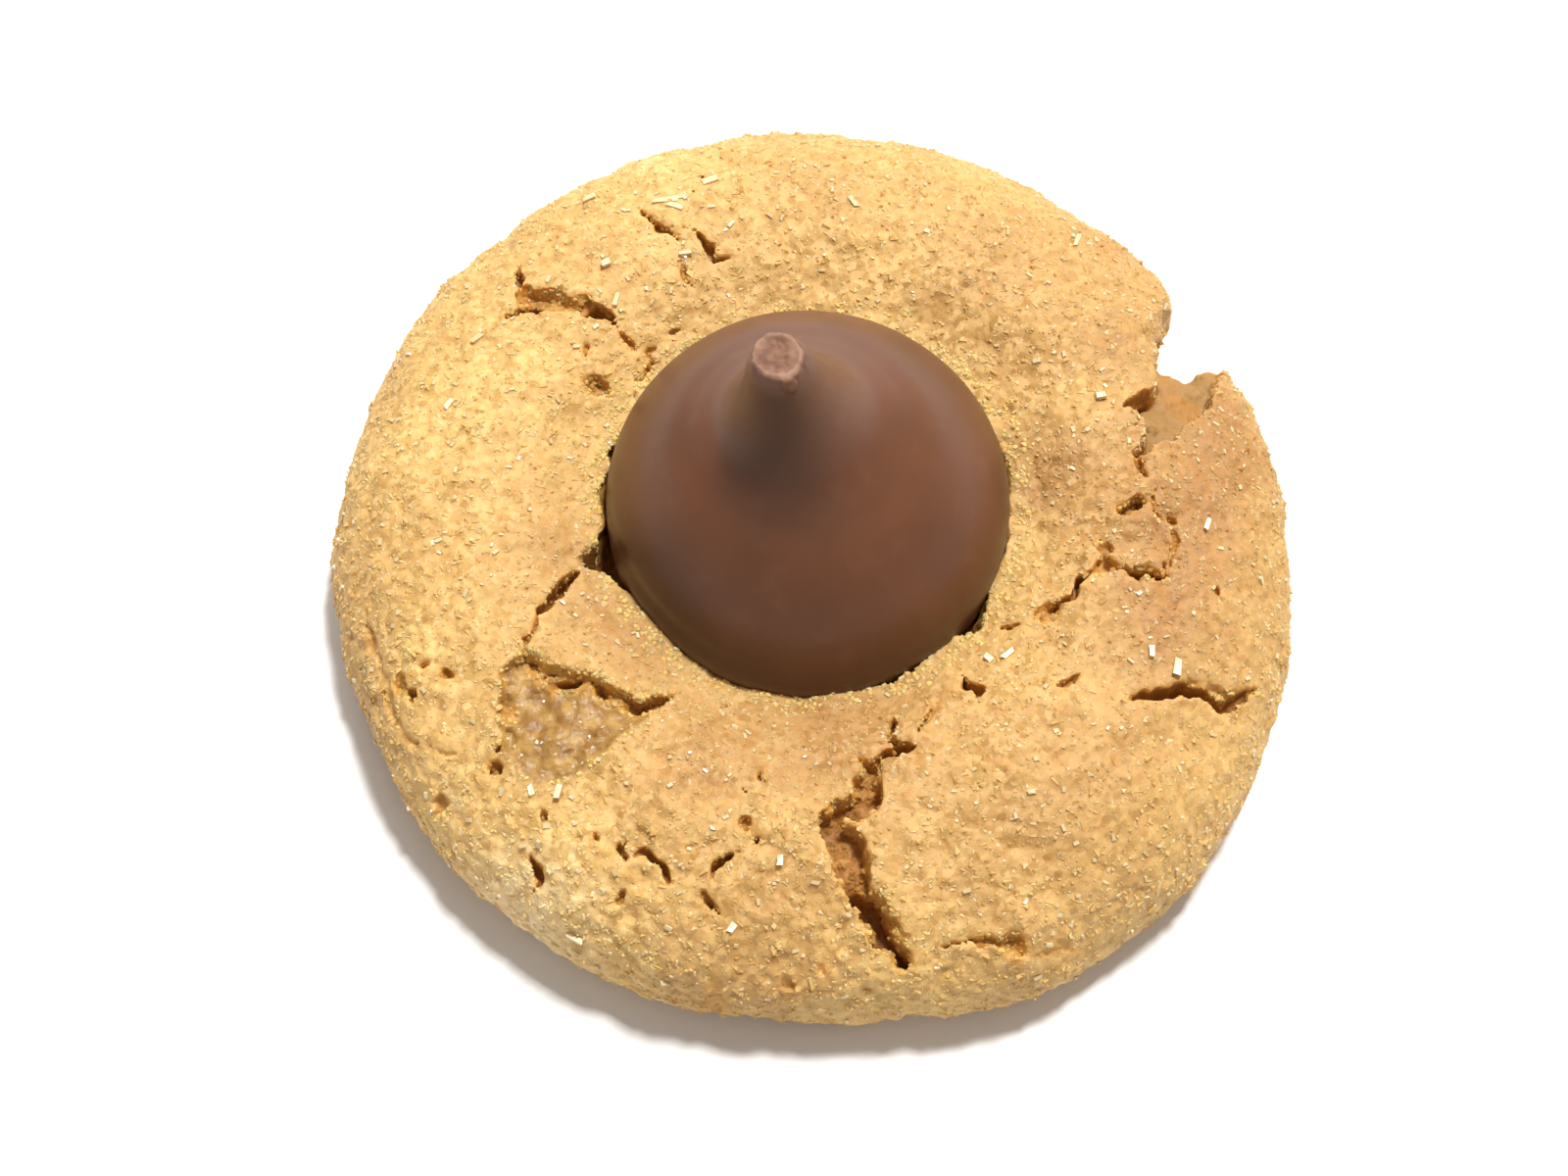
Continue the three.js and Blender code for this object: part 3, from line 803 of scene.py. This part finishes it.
def drop_relief(points, direction, radius, height):
    """How far the drop's surface stands proud of its smooth form."""
    crease = CREASE_LEVEL + 0.25 * np.sin(np.radians(direction * 2 + 40))
    strength = by_direction(direction, CREASE_DIRECTIONS)
    relief = -CREASE_DEPTH * strength * bell(height - crease, CREASE_WIDTH)
    relief += FOOT_RISE * strength * smooth_step(crease - height, 0, 1.2)
    relief += by_direction(direction, [FOOT_BULGE]) * smooth_step(height, 6.5, 3) * smooth_step(height, 0, 1)
    relief += 0.07 * smooth_noise(points, 6, 41) + 0.012 * smooth_noise(points, 1.6, 42)
    at_tip = smooth_step(height, DROP_HEIGHT - 1.1, DROP_HEIGHT - 0.1)
    on_top = smooth_step(height, DROP_HEIGHT - 0.2, DROP_HEIGHT) * (radius < TIP_RADIUS)
    relief += at_tip * (0.09 * smooth_noise(points, 0.55, 43) + 0.05 * smooth_noise(points, 0.28, 44))
    tip_edge = 0.12 * bell(radius - 0.86 * TIP_RADIUS, 0.2)
    relief += on_top * (0.13 * packed_lumps(points, 0.5, 45) + tip_edge - 0.1)
    across = np.radians(turn_between(direction, DRIP_DIRECTION)) * radius / DRIP_SIZE[0]
    down = (DROP_HEIGHT - DRIP_DROP - height) / DRIP_SIZE[1]
    drip = np.sqrt(np.clip(1 - across ** 2 - down ** 2, 0, 1))
    return relief + DRIP_RISE * drip * (radius > TIP_RADIUS - 0.2)


def make_drop():
    """The drop as a turned form, its surface moved in and out, leaning towards its broken tip."""
    outline = drop_outline()
    segments = 280
    along = np.gradient(outline, axis=0)
    out = np.column_stack([along[:, 1], -along[:, 0]])
    out /= np.linalg.norm(out, axis=1)[:, None]
    turn = np.linspace(0, 2 * math.pi, segments, endpoint=False)
    ring = np.column_stack([np.cos(turn), np.sin(turn)])

    def turned(radius, height):
        flat = radius[:, None, None] * ring[None]
        return np.concatenate([flat, np.broadcast_to(height[:, None, None], (*flat.shape[:2], 1))], axis=2)

    points = turned(outline[:, 0], outline[:, 1]).reshape(-1, 3)
    direction = np.degrees(np.tile(turn, len(outline)))
    radius, height = np.repeat(outline, segments, axis=0).T
    relief = drop_relief(points, direction, radius, height)
    points += turned(out[:, 0], out[:, 1]).reshape(-1, 3) * relief[:, None]
    lean = (np.maximum(points[:, 2] - LEAN_START, 0) / (DROP_HEIGHT - LEAN_START)) ** LEAN_POWER
    points += np.outer(lean, (*TIP_LEAN, 0)) + (*DROP_AXIS, DROP_BASE_LEVEL)

    step = np.arange(segments)
    first = np.arange(len(outline) - 1)[:, None] * segments
    after = (step + 1) % segments
    quads = np.stack([first + step, first + after, first + segments + after, first + segments + step], axis=2)
    last = (len(outline) - 1) * segments
    faces = quads.reshape(-1, 4).tolist() + [step[::-1].tolist(), (last + step).tolist()]
    drop = mesh_object("chocolate", points, faces, smooth=True)
    tip = smooth_step(height, DROP_HEIGHT - 0.35, DROP_HEIGHT - 0.05) * (radius < TIP_RADIUS + 0.2)
    tip_rim = tip * bell(radius - TIP_RADIUS, 0.3)
    # painted shade: the foot is coloured darker below about 3 to 7.5 mm, reaching higher at the lower left
    raised_foot_shade = 3.5 * by_direction(direction, [FOOT_PAINTED_SHADE])
    # the band of the cone that carries painted shade and is rougher, darkest at its front
    painted_shade_hollow = smooth_step(height, 10, 13) * smooth_step(height, DROP_HEIGHT - 0.4, DROP_HEIGHT - 1.6)
    give_attributes(drop, {
        "tip": tip,
        "tip_rim": tip_rim * (0.5 + 0.5 * smooth_noise(points, 1.2, 46)),
        "foot": smooth_step(height - raised_foot_shade, 7.5, 3),
        "painted_shade_hollow": painted_shade_hollow * by_direction(direction, [CONE_PAINTED_SHADE]),
    })
    return drop


# ---------------------------------------------------------------- sugar and crumbs

def places_on(obj, count, keep, rng):
    """Random points on an object's faces, in millimetres, with their normals. keep(points) is how often
    a place is chosen."""
    mesh = obj.data
    mesh.calc_loop_triangles()
    corners = np.empty(len(mesh.loop_triangles) * 3, np.int32)
    mesh.loop_triangles.foreach_get("vertices", corners)
    a, b, c = points_of(obj)[corners].reshape(-1, 3, 3).transpose(1, 0, 2)
    across = np.cross(b - a, c - a)
    area = np.linalg.norm(across, axis=1)
    normal = across / np.maximum(area, 1e-9)[:, None]
    share = area * keep((a + b + c) / 3)
    chosen = rng.choice(len(area), count, p=share / share.sum())
    u, v = rng.uniform(size=(2, count, 1))
    fold = u + v > 1
    u, v = np.where(fold, 1 - u, u), np.where(fold, 1 - v, v)
    return a[chosen] + u * (b - a)[chosen] + v * (c - a)[chosen], normal[chosen]


def random_turns(count, rng):
    """Random rotation matrices, evenly spread."""
    quaternion = rng.normal(size=(4, count))
    w, x, y, z = quaternion / np.linalg.norm(quaternion, axis=0)
    return np.array([
        [1 - 2 * (y * y + z * z), 2 * (x * y - z * w), 2 * (x * z + y * w)],
        [2 * (x * y + z * w), 1 - 2 * (x * x + z * z), 2 * (y * z - x * w)],
        [2 * (x * z - y * w), 2 * (y * z + x * w), 1 - 2 * (x * x + y * y)],
    ]).transpose(2, 0, 1)


def lying_turns(normals, rng):
    """Rotation matrices that lay a thing's long Z axis along the surface, with X standing out of it."""
    along = np.cross(normals, rng.normal(size=normals.shape))
    along /= np.linalg.norm(along, axis=1)[:, None]
    return np.stack([normals, np.cross(along, normals), along], axis=2)


def pebble_form():
    """An eight-sided grain."""
    points = np.vstack([0.5 * np.eye(3), -0.5 * np.eye(3)])
    faces = [[0, 1, 2], [1, 3, 2], [3, 4, 2], [4, 0, 2], [1, 0, 5], [3, 1, 5], [4, 3, 5], [0, 4, 5]]
    return points, np.array(faces)


def block_form():
    """A six-sided crystal."""
    points = np.array(list(itertools.product((-0.5, 0.5), repeat=3)))
    faces = [[0, 1, 3, 2], [4, 6, 7, 5], [0, 4, 5, 1], [2, 3, 7, 6], [0, 2, 6, 4], [1, 5, 7, 3]]
    return points, np.array(faces)


def lump_form():
    """A twenty-sided ball."""
    golden = (1 + 5 ** 0.5) / 2
    points = [p for a in (-1, 1) for b in (-golden, golden) for p in ((0, a, b), (a, b, 0), (b, 0, a))]
    points = np.array(points) / math.hypot(1, golden) / 2
    near = np.linalg.norm(points[:, None] - points[None], axis=2) < 0.55
    faces = []
    for i, j, k in itertools.combinations(range(12), 3):
        if near[i, j] and near[j, k] and near[i, k]:
            outward = np.dot(np.cross(points[j] - points[i], points[k] - points[i]), points[i]) > 0
            faces.append([i, j, k] if outward else [i, k, j])
    return points, np.array(faces)


def strew(name, form, places, turns, sizes, uneven, dough, rng):
    """One joined mesh of a form repeated at places, each turned, sized and made a little uneven."""
    form_points, form_faces = form
    count, corners = len(places), len(form_points)
    shapes = form_points[None] * (1 + rng.uniform(-uneven, uneven, (count, corners, 3))) * sizes[:, None, :]
    points = places[:, None, :] + np.einsum("nij,nkj->nki", turns, shapes)
    faces = form_faces[None] + corners * np.arange(count)[:, None, None]
    obj = mesh_object(name, points.reshape(-1, 3), faces.reshape(-1, form_faces.shape[1]).tolist())
    give_attributes(obj, {
        "tint": np.repeat(rng.uniform(0, 1, count), corners),
        "browning_and_painted_light": np.repeat(dough.brownness(places), corners),
        # painted shade for crumbs deep in splits
        "deep": np.repeat(dough.bare(places) * (0.3 + 0.7 * dough.deep(places)), corners),
    })
    return obj


def make_crystals(cookie, dough, keep, rng):
    """Coarse sugar lying on the crust: the ones that stand out, and a scatter of finer ones."""
    count = len(LARGE_CRYSTALS)
    at, direction, length, width = (np.array(column) for column in zip(*LARGE_CRYSTALS))
    height = dough.top[dough.column_of(np.column_stack([at, np.zeros(count)]))] + 0.12
    turn = np.radians(direction)
    along = np.column_stack([np.cos(turn), np.sin(turn), np.zeros(count)])
    up = np.tile([0.0, 0.0, 1.0], (count, 1))
    turns = np.stack([up, np.cross(along, up), along], axis=2)
    sizes = np.column_stack([width * 0.8, width, length])

    places, normals = places_on(cookie, CRYSTAL_COUNT, keep, rng)
    small = rng.uniform(0.1, 0.19, (CRYSTAL_COUNT, 1))
    small = small * rng.uniform((0.8, 0.8, 1), (1.2, 1.2, 2.4), (CRYSTAL_COUNT, 3))
    places = np.vstack([np.column_stack([at, height]), places + 0.03 * normals])
    turns = np.vstack([turns, lying_turns(normals, rng)])
    sizes = np.vstack([sizes, small])
    return strew("sugar_crystals", block_form(), places, turns, sizes, 0.22, dough, rng)


def make_grains(cookie, dough):
    """Everything that lies on the crust, one piece for each kind."""
    rng = np.random.default_rng(5)

    def off_drop(points, distance):
        return from_drop_axis(points[:, 0], points[:, 1]) > DROP_RADIUS + distance

    def on_crust(points):
        column = dough.column_of(points)
        missing = np.maximum(dough.near_opening, np.maximum(dough.torn, dough.broken))[column]
        shown = (points[:, 2] > 0.3) & off_drop(points, 0) & (missing < 0.4) & (dough.bare(points) < 0.3)
        return shown * (0.6 + 0.4 * smooth_step(points[:, 2], 2, 6)) * (1 + 0.3 * dough.lip[column])

    def on_edges(points):
        beside_drop = bell(from_drop_axis(points[:, 0], points[:, 1]) - DROP_RADIUS - 0.6, 0.6)
        column = dough.column_of(points)
        torn = dough.torn[column]
        below = dough.below_crust(points)
        walls = dough.bare(points) * smooth_step(3 - below, 0, 1.5) * off_drop(points, 1)
        walls = walls * (1 - dough.in_slit[column])
        shown = (points[:, 2] > 1) & off_drop(points, 0.2)
        return shown * (0.25 * beside_drop * (below < 0.4) + torn * (1 - torn) + 0.3 * walls)

    def on_torn(points):
        return dough.torn[dough.column_of(points)] * (dough.bare(points) < 0.3)

    def spread(name, form, count, keep, width, longest, sunk, uneven=0.2):
        """width is a range in mm. longest and the range sunk are in widths."""
        places, normals = places_on(cookie, count, keep, rng)
        widths = rng.uniform(*width, (count, 1))
        stretch = np.column_stack([rng.uniform(0.8, 1.2, (count, 2)), rng.uniform(1, longest, count)])
        places = places + normals * rng.uniform(*sunk, (count, 1)) * widths
        turns = random_turns(count, rng)
        return strew(name, form, places, turns, widths * stretch, uneven, dough, rng)

    pebble, block, lump = pebble_form(), block_form(), lump_form()
    grains = spread("dough_grains", pebble, GRAIN_COUNT, on_crust, (0.35, 0.65), 1.3, (-0.45, -0.25))
    sugar = spread("sugar_grains", pebble, SUGAR_COUNT, on_crust, (0.22, 0.4), 1.5, (-0.42, -0.2))
    crystals = make_crystals(cookie, dough, on_crust, rng)
    glints = spread("sugar_glints", block, GLINT_COUNT, on_torn, (0.1, 0.17), 1.4, (-0.3, 0.1))
    crumbs = spread("crumbs", lump, CRUMB_COUNT, on_edges, (0.2, 0.42), 1.3, (-0.4, -0.1), 0.25)
    return grains, sugar, crystals, glints, crumbs


# ---------------------------------------------------------------- materials

class Nodes:
    """Short calls that add nodes to a material and give back what they put out."""

    def __init__(self, name):
        self.material = bpy.data.materials.new(name)
        self.material.use_nodes = True
        self.tree = self.material.node_tree
        self.shader = self.tree.nodes["Principled BSDF"]
        self.place = self.tree.nodes.new("ShaderNodeTexCoord").outputs["Object"]

    def fill(self, socket, value):
        if isinstance(value, bpy.types.NodeSocket):
            self.tree.links.new(value, socket)
        elif isinstance(value, tuple) and len(value) == 3 and socket.type == "RGBA":
            socket.default_value = (*value, 1)
        else:
            socket.default_value = value

    def node(self, kind, inputs, **settings):
        node = self.tree.nodes.new(kind)
        for key, value in settings.items():
            setattr(node, key, value)
        for key, value in inputs.items():
            self.fill(node.inputs[key], value)
        return node

    def shade(self, **inputs):
        for key, value in inputs.items():
            self.fill(self.shader.inputs[key.replace("_", " ")], value)
        return self.material

    def noise(self, size_mm, detail=2, rough=0.5):
        return self.node("ShaderNodeTexNoise", {
            "Vector": self.place, "Scale": 1 / (size_mm * MM), "Detail": detail, "Roughness": rough,
        }).outputs["Fac"]

    def grains(self, size_mm):
        """0 in the middle of packed grains, rising towards the creases between them."""
        return self.node("ShaderNodeTexVoronoi", {
            "Vector": self.place, "Scale": 1 / (size_mm * MM), "Smoothness": 0.4},
            feature="SMOOTH_F1").outputs["Distance"]

    def cell_colour(self, size_mm):
        """A random colour for each of many packed cells."""
        cell = self.node("ShaderNodeTexVoronoi", {"Vector": self.place, "Scale": 1 / (size_mm * MM)})
        return cell.outputs["Color"]

    def cells(self, size_mm):
        """A random value from 0 to 1 for each of many packed cells."""
        return self.node("ShaderNodeSeparateColor", {"Color": self.cell_colour(size_mm)}).outputs[0]

    def facets(self, size_mm, tilt):
        """The surface's normal, tilted a little differently in each of many packed cells."""
        away = self.vectors("SUBTRACT", self.cell_colour(size_mm), (0.5, 0.5, 0.5))
        away = self.vectors("MULTIPLY", away, (tilt, tilt, tilt))
        normal = self.node("ShaderNodeNewGeometry", {}).outputs["Normal"]
        return self.vectors("NORMALIZE", self.vectors("ADD", normal, away), (0, 0, 0))

    def sideways(self, amount):
        """0 where the surface faces up, rising to the amount where it faces sideways."""
        normal = self.node("ShaderNodeNewGeometry", {}).outputs["True Normal"]
        level = self.node("ShaderNodeSeparateXYZ", {"Vector": normal}).outputs["Z"]
        return self.between(level, 0.8, -0.1, 0, amount)

    def mottled(self, size_mm, detail, low, high, pair, rough=0.5):
        """One colour of the pair where a noise is low and the other where it is high."""
        return self.mix(self.between(self.noise(size_mm, detail, rough), low, high), *pair)

    def attribute(self, name):
        return self.node("ShaderNodeAttribute", {}, attribute_name=name).outputs["Fac"]

    def mix(self, share, a, b, blend="MIX"):
        inputs = {0: share, 6: a, 7: b}
        return self.node("ShaderNodeMix", inputs, data_type="RGBA", blend_type=blend).outputs[2]

    def maths(self, operation, a, b):
        return self.node("ShaderNodeMath", {0: a, 1: b}, operation=operation).outputs[0]

    def vectors(self, operation, a, b):
        return self.node("ShaderNodeVectorMath", {0: a, 1: b}, operation=operation).outputs[0]

    def between(self, value, low, high, to_low=0.0, to_high=1.0):
        return self.node("ShaderNodeMapRange", {
            "Value": value, "From Min": low, "From Max": high, "To Min": to_low, "To Max": to_high,
        }).outputs[0]

    def bump(self, height, distance_mm, under=None):
        inputs = {"Height": height, "Distance": distance_mm * MM, "Strength": 1.0}
        if under is not None:
            inputs["Normal"] = under
        return self.node("ShaderNodeBump", inputs).outputs["Normal"]


# Colours as linear red, green and blue. A pair is the two ends of a mottling.
PALE_CRUST = (0.89, 0.69, 0.38)
LIGHT_CRUST = (0.73, 0.475, 0.165)
BROWN_CRUST = (0.42, 0.218, 0.068)
GRAIN_TONES = ((0.90, 0.85, 0.74), (1.08, 1.11, 1.2))
CREVICE_SHADE = (0.54, 0.25, 0.055)
PORE_SHADE = (0.46, 0.21, 0.045)
GOLDEN_WALL = ((0.57, 0.265, 0.04), (0.65, 0.35, 0.07))
TORN_FLOOR = ((0.275, 0.135, 0.030), (0.45, 0.268, 0.070))
BROKEN_FLOOR = ((0.39, 0.185, 0.034), (0.33, 0.185, 0.052))
DEEP_DOUGH_SHADE = (0.31, 0.12, 0.018)
WARM_SIDE_SHADE = (0.66, 0.36, 0.08)
CRUMBS = ((0.70, 0.43, 0.135), (0.80, 0.55, 0.21))
CHOCOLATE = ((0.113, 0.0405, 0.0155), (0.137, 0.048, 0.0185))
CHOCOLATE_BLOOM = (0.20, 0.10, 0.06)
CHOCOLATE_FOOT_SHADE = (0.060, 0.020, 0.0075)
CHOCOLATE_PAINTED_SHADE = (0.05, 0.019, 0.009)
CHOCOLATE_TIP = ((0.15, 0.066, 0.038), (0.25, 0.125, 0.075))
CHOCOLATE_TIP_RIM = (0.45, 0.28, 0.19)
BOARD = ((0.77, 0.77, 0.77), (0.79, 0.79, 0.79))


def crust_colour(m):
    """The crust's colour, from the browning_and_painted_light attribute, a fine mottling and a tone for each
    crystal.
    """
    spots = m.maths("ADD", m.attribute("browning_and_painted_light"), m.between(m.noise(0.7, 3, 0.6), 0.3, 0.7, -0.13, 0.13))
    crust = m.mix(m.between(spots, 0, 1), LIGHT_CRUST, BROWN_CRUST)
    # partly painted light: where the browning is below 0 the crust turns pale, most at the lower left rim
    crust = m.mix(m.between(spots, 0, -0.5), crust, PALE_CRUST)
    return m.mix(1.0, crust, m.mix(m.cells(0.38), *GRAIN_TONES), "MULTIPLY")


def dough_material():
    m = Nodes("baked_dough")
    crust = crust_colour(m)
    # painted shade: the creases between the dough's lumps are coloured darker
    crust = m.mix(m.between(m.attribute("raised"), 0.05, -0.5, 0, 0.4), crust, CREVICE_SHADE)
    # painted shade: small dark spots that stand for pits, scattered by a noise
    crust = m.mix(m.between(m.noise(0.45, 2), 0.34, 0.28, 0, 0.5), crust, PORE_SHADE)
    bare = m.attribute("bare")
    steep = m.between(m.sideways(1.0), 0.05, 0.45)
    shown = m.maths("MAXIMUM", bare, m.maths("MULTIPLY", m.attribute("opened"), steep))
    colour = m.mix(m.attribute("broken"), crust, m.mottled(2.2, 2, 0.4, 0.6, BROKEN_FLOOR))
    colour = m.mix(m.attribute("torn"), colour, m.mottled(0.8, 4, 0.38, 0.62, TORN_FLOOR))
    colour = m.mix(shown, colour, m.mottled(0.9, 3, 0.35, 0.65, GOLDEN_WALL))
    # painted shade: the dough is coloured darker deep in splits and beside the drop
    colour = m.mix(m.maths("MULTIPLY", bare, m.attribute("deep")), colour, DEEP_DOUGH_SHADE)
    grain = m.maths("MULTIPLY", m.grains(0.3), -1.0)
    height = m.maths("ADD", grain, m.maths("MULTIPLY", m.noise(0.5, 3), 0.8))
    rough = m.between(m.attribute("torn"), 0, 1, 0.65, 0.48)
    return m.shade(Base_Color=colour, Roughness=rough, Normal=m.bump(height, 0.03, m.facets(0.38, 0.36)),
                   Subsurface_Weight=0.6, Subsurface_Radius=(1.0, 0.62, 0.3), Subsurface_Scale=0.65 * MM)


def grain_material(name, lighter, share, rough):
    """Grains of dough and sugar that take the crust's colour and are a little lighter."""
    m = Nodes(name)
    tint = m.between(m.attribute("tint"), 0, 1, 0.0, share)
    colour = m.mix(tint, crust_colour(m), lighter)
    # painted shade: faces that turn sideways are coloured a darker, warmer orange
    colour = m.mix(m.sideways(0.5), colour, WARM_SIDE_SHADE)
    return m.shade(Base_Color=colour, Roughness=rough, Specular_IOR_Level=0.15,
                   Subsurface_Weight=0.5, Subsurface_Radius=(1.0, 0.6, 0.3), Subsurface_Scale=0.15 * MM,
                   Normal=m.facets(0.3, 0.22))


def crystal_material(name, dark, light, rough):
    m = Nodes(name)
    colour = m.mix(m.attribute("tint"), dark, light)
    return m.shade(Base_Color=colour, Roughness=rough, Transmission_Weight=0.2, IOR=1.5,
                   Normal=m.bump(m.noise(0.15, 2), 0.01))


def crumb_material():
    m = Nodes("crumb")
    colour = m.mix(m.attribute("tint"), *CRUMBS)
    # painted shade: faces that turn sideways are coloured a darker, warmer orange
    colour = m.mix(m.sideways(0.5), colour, WARM_SIDE_SHADE)
    # painted shade: crumbs deep in splits are coloured darker
    colour = m.mix(m.attribute("deep"), colour, DEEP_DOUGH_SHADE)
    return m.shade(Base_Color=colour, Roughness=0.6, Specular_IOR_Level=0.15,
                   Normal=m.bump(m.noise(0.14, 3), 0.03), Subsurface_Weight=0.6,
                   Subsurface_Radius=(1.0, 0.6, 0.25), Subsurface_Scale=0.3 * MM)


def chocolate_material():
    m = Nodes("milk_chocolate")
    body = m.mottled(5, 2, 0.35, 0.65, CHOCOLATE)
    body = m.mix(m.between(m.noise(2.2, 3, 0.6), 0.55, 0.8, 0, 0.25), body, CHOCOLATE_BLOOM)
    tip = m.mottled(0.5, 4, 0.36, 0.62, CHOCOLATE_TIP, rough=0.6)
    tip = m.mix(m.maths("MULTIPLY", m.attribute("tip_rim"), 0.8), tip, CHOCOLATE_TIP_RIM)
    # painted shade: the foot is coloured darker
    body = m.mix(m.attribute("foot"), body, CHOCOLATE_FOOT_SHADE)
    # painted shade and reflection: the concave front of the cone is coloured darker
    body = m.mix(m.maths("MULTIPLY", m.attribute("painted_shade_hollow"), 0.7), body, CHOCOLATE_PAINTED_SHADE)
    colour = m.mix(m.attribute("tip"), body, tip)
    rough = m.between(m.attribute("tip"), 0, 1, 0.38, 0.75)
    rough = m.maths("ADD", rough, m.maths("MULTIPLY", m.attribute("painted_shade_hollow"), 0.2))
    fine = m.bump(m.noise(0.25, 3, 0.6), 0.004)
    return m.shade(Base_Color=colour, Roughness=rough, Normal=fine, Specular_IOR_Level=0.45,
                   Subsurface_Weight=0.08, Subsurface_Radius=(1.0, 0.4, 0.2), Subsurface_Scale=0.6 * MM)


def board_material():
    """A plain white board, a little uneven."""
    m = Nodes("white_board")
    colour = m.mottled(40, 2, 0.3, 0.7, BOARD)
    return m.shade(Base_Color=colour, Roughness=0.6, Normal=m.bump(m.noise(0.6, 2), 0.01))


# ---------------------------------------------------------------- camera, floor and light

CAMERA_TARGET = (-1.49, -2.65, 3.756)
CAMERA_ELEVATION = 66
CAMERA_DISTANCE = 0.140  # in metres, as are the floor's and the lamps' sizes
CAMERA_LENS = 58.43
FLOOR_HALF = 2


def aimed(azimuth, elevation):
    """The direction that an azimuth and an elevation in degrees point to."""
    azimuth, elevation = math.radians(azimuth), math.radians(elevation)
    return Vector((math.cos(azimuth) * math.cos(elevation), math.sin(azimuth) * math.cos(elevation),
                   math.sin(elevation)))


def make_camera():
    target = Vector(SHIFT + CAMERA_TARGET) * MM
    data = bpy.data.cameras.new("camera")
    data.lens = CAMERA_LENS
    data.clip_start = 0.001
    camera = bpy.data.objects.new("camera", data)
    camera.location = target + CAMERA_DISTANCE * aimed(-90, CAMERA_ELEVATION)
    camera.rotation_euler = (math.radians(90 - CAMERA_ELEVATION), 0, 0)
    bpy.context.scene.collection.objects.link(camera)
    bpy.context.scene.camera = camera


def make_floor():
    mesh = bpy.data.meshes.new("floor")
    corners = [(FLOOR_HALF * x, FLOOR_HALF * y, 0) for x, y in [(-1, -1), (1, -1), (1, 1), (-1, 1)]]
    mesh.from_pydata(corners, [], [(0, 1, 2, 3)])
    mesh.materials.append(board_material())
    floor = bpy.data.objects.new("floor", mesh)
    bpy.context.scene.collection.objects.link(floor)


def add_lamp(name, azimuth, elevation, distance, size, watts, colour):
    """A square lamp that faces the part."""
    data = bpy.data.lights.new(name, "AREA")
    data.energy = watts
    data.size = size
    data.color = colour
    lamp = bpy.data.objects.new(name, data)
    direction = aimed(azimuth, elevation)
    lamp.location = direction * distance
    lamp.rotation_euler = direction.to_track_quat("Z", "Y").to_euler()
    bpy.context.scene.collection.objects.link(lamp)


def make_light():
    """A small lamp behind to the right, a wide soft panel behind, and even light from all round."""
    world = bpy.data.worlds.new("studio")
    world.use_nodes = True
    background = world.node_tree.nodes["Background"]
    background.inputs["Color"].default_value = (1, 0.93, 0.87, 1)
    background.inputs["Strength"].default_value = 0.45
    bpy.context.scene.world = world
    add_lamp("key", azimuth=55, elevation=71, distance=0.6, size=0.08, watts=4.3, colour=(1, 0.98, 0.96))
    add_lamp("panel", azimuth=85, elevation=45, distance=1.0, size=0.8, watts=3.3, colour=(0.97, 0.99, 1))
    bpy.context.scene.view_settings.view_transform = "Standard"


# ---------------------------------------------------------------- the part

make_camera()
dough = Dough()
cookie = make_cookie(dough)
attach(cookie, "root")
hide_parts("cookie")
cookie.data.materials.append(dough_material())

drop = make_drop()
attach(drop, "root")
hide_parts("chocolate_drop")
drop.data.materials.append(chocolate_material())

strewn_materials = [
    grain_material("dough_grain", (0.84, 0.58, 0.25), 0.35, 0.6),
    grain_material("fine_sugar", (0.95, 0.78, 0.50), 0.5, 0.45),
    crystal_material("coarse_sugar", (0.72, 0.56, 0.28), (0.85, 0.72, 0.44), 0.3),
    crystal_material("wet_sugar", (0.70, 0.52, 0.30), (0.95, 0.85, 0.65), 0.1),
    crumb_material(),
]
for piece, material in zip(make_grains(cookie, dough), strewn_materials):
    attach(piece, "root")
    piece.data.materials.append(material)

make_floor()
make_light()
